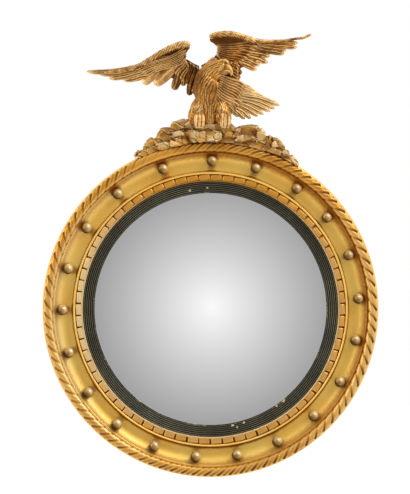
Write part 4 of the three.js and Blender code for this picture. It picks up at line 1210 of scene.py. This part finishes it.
for name in ["backboard", "crest_batten", "eagle_dowel"] + glass_blocks:
    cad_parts[name].data.materials.clear()
    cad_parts[name].data.materials.append(aged_pine)


# ---- Hangers: forged iron plates, brass rings and screws -------------------------------------
# Two iron straps folded round an eye are screwed to the back, and a loose brass ring, dull with
# tarnish, swings in each. The screws are of the same dark, rusting iron as the straps.
forged_iron, tree = blank_material("forged_iron")
coordinates = node(tree, "ShaderNodeTexCoord").outputs["Object"]
scale = node(tree, "ShaderNodeTexNoise", {
    "Vector": coordinates, "Scale": 1000 / 4, "Detail": 5.0, "Roughness": 0.7})
rusted = node(tree, "ShaderNodeMapRange", {
    "Value": scale.outputs["Fac"], "From Min": 0.5, "From Max": 0.62})
colour = node(tree, "ShaderNodeMix", {
    "Factor": rusted.outputs[0], 6: linear("#4a4644"), 7: linear("#6a4227")}, data_type="RGBA")
metallic = node(tree, "ShaderNodeMapRange", {
    "Value": rusted.outputs[0], "To Min": 0.85, "To Max": 0.1})
roughness = node(tree, "ShaderNodeMapRange", {
    "Value": rusted.outputs[0], "To Min": 0.5, "To Max": 0.85})
relief = node(tree, "ShaderNodeBump", {
    "Height": scale.outputs["Fac"], "Strength": 0.5, "Distance": 0.0003})
shader = node(tree, "ShaderNodeBsdfPrincipled", {
    "Base Color": colour.outputs[2], "Metallic": metallic.outputs[0],
    "Roughness": roughness.outputs[0], "Normal": relief.outputs[0]})
node(tree, "ShaderNodeOutputMaterial", {"Surface": shader.outputs[0]})
for name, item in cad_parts.items():
    if "screw" in name or name.startswith("hanger_plate"):
        item.data.materials.clear()
        item.data.materials.append(forged_iron)

tarnished_brass, tree = blank_material("tarnished_brass")
coordinates = node(tree, "ShaderNodeTexCoord").outputs["Object"]
tarnish = node(tree, "ShaderNodeTexNoise", {
    "Vector": coordinates, "Scale": 1000 / 6, "Detail": 4.0, "Roughness": 0.6})
colour = node(tree, "ShaderNodeValToRGB", {"Fac": tarnish.outputs["Fac"]}, stops=[
    (0.35, "#c9a352"), (0.55, "#9c7733"), (0.7, "#5d4220")])
roughness = node(tree, "ShaderNodeMapRange", {
    "Value": tarnish.outputs["Fac"], "To Min": 0.25, "To Max": 0.6})
shader = node(tree, "ShaderNodeBsdfPrincipled", {
    "Base Color": colour.outputs["Color"], "Metallic": 1.0, "Roughness": roughness.outputs[0]})
node(tree, "ShaderNodeOutputMaterial", {"Surface": shader.outputs[0]})
hoop_radius, wire_radius = 15, 1.42
hoop_depth, hoop_height = 4.4, 223
for side, x in (("left", -205), ("right", 205)):
    def hoop_point(u, v):
        """The wire, a little thicker where its ends are brazed, at the bottom."""
        turn, section = 2 * math.pi * u, 2 * math.pi * v
        wire = wire_radius + 0.06 * bump(u - 0.5, 0.03)
        reach = hoop_radius + wire * math.cos(section)
        return Vector((x + reach * math.sin(turn), -hoop_depth + wire * math.sin(section),
                       hoop_height + reach * math.cos(turn)))
    hoop = surface(f"brass_hoop_{side}", 96, 16, hoop_point)
    fit(hoop, tarnished_brass, "brass", f"hanger_ring_{side}", body=f"hanger_ring_{side}")
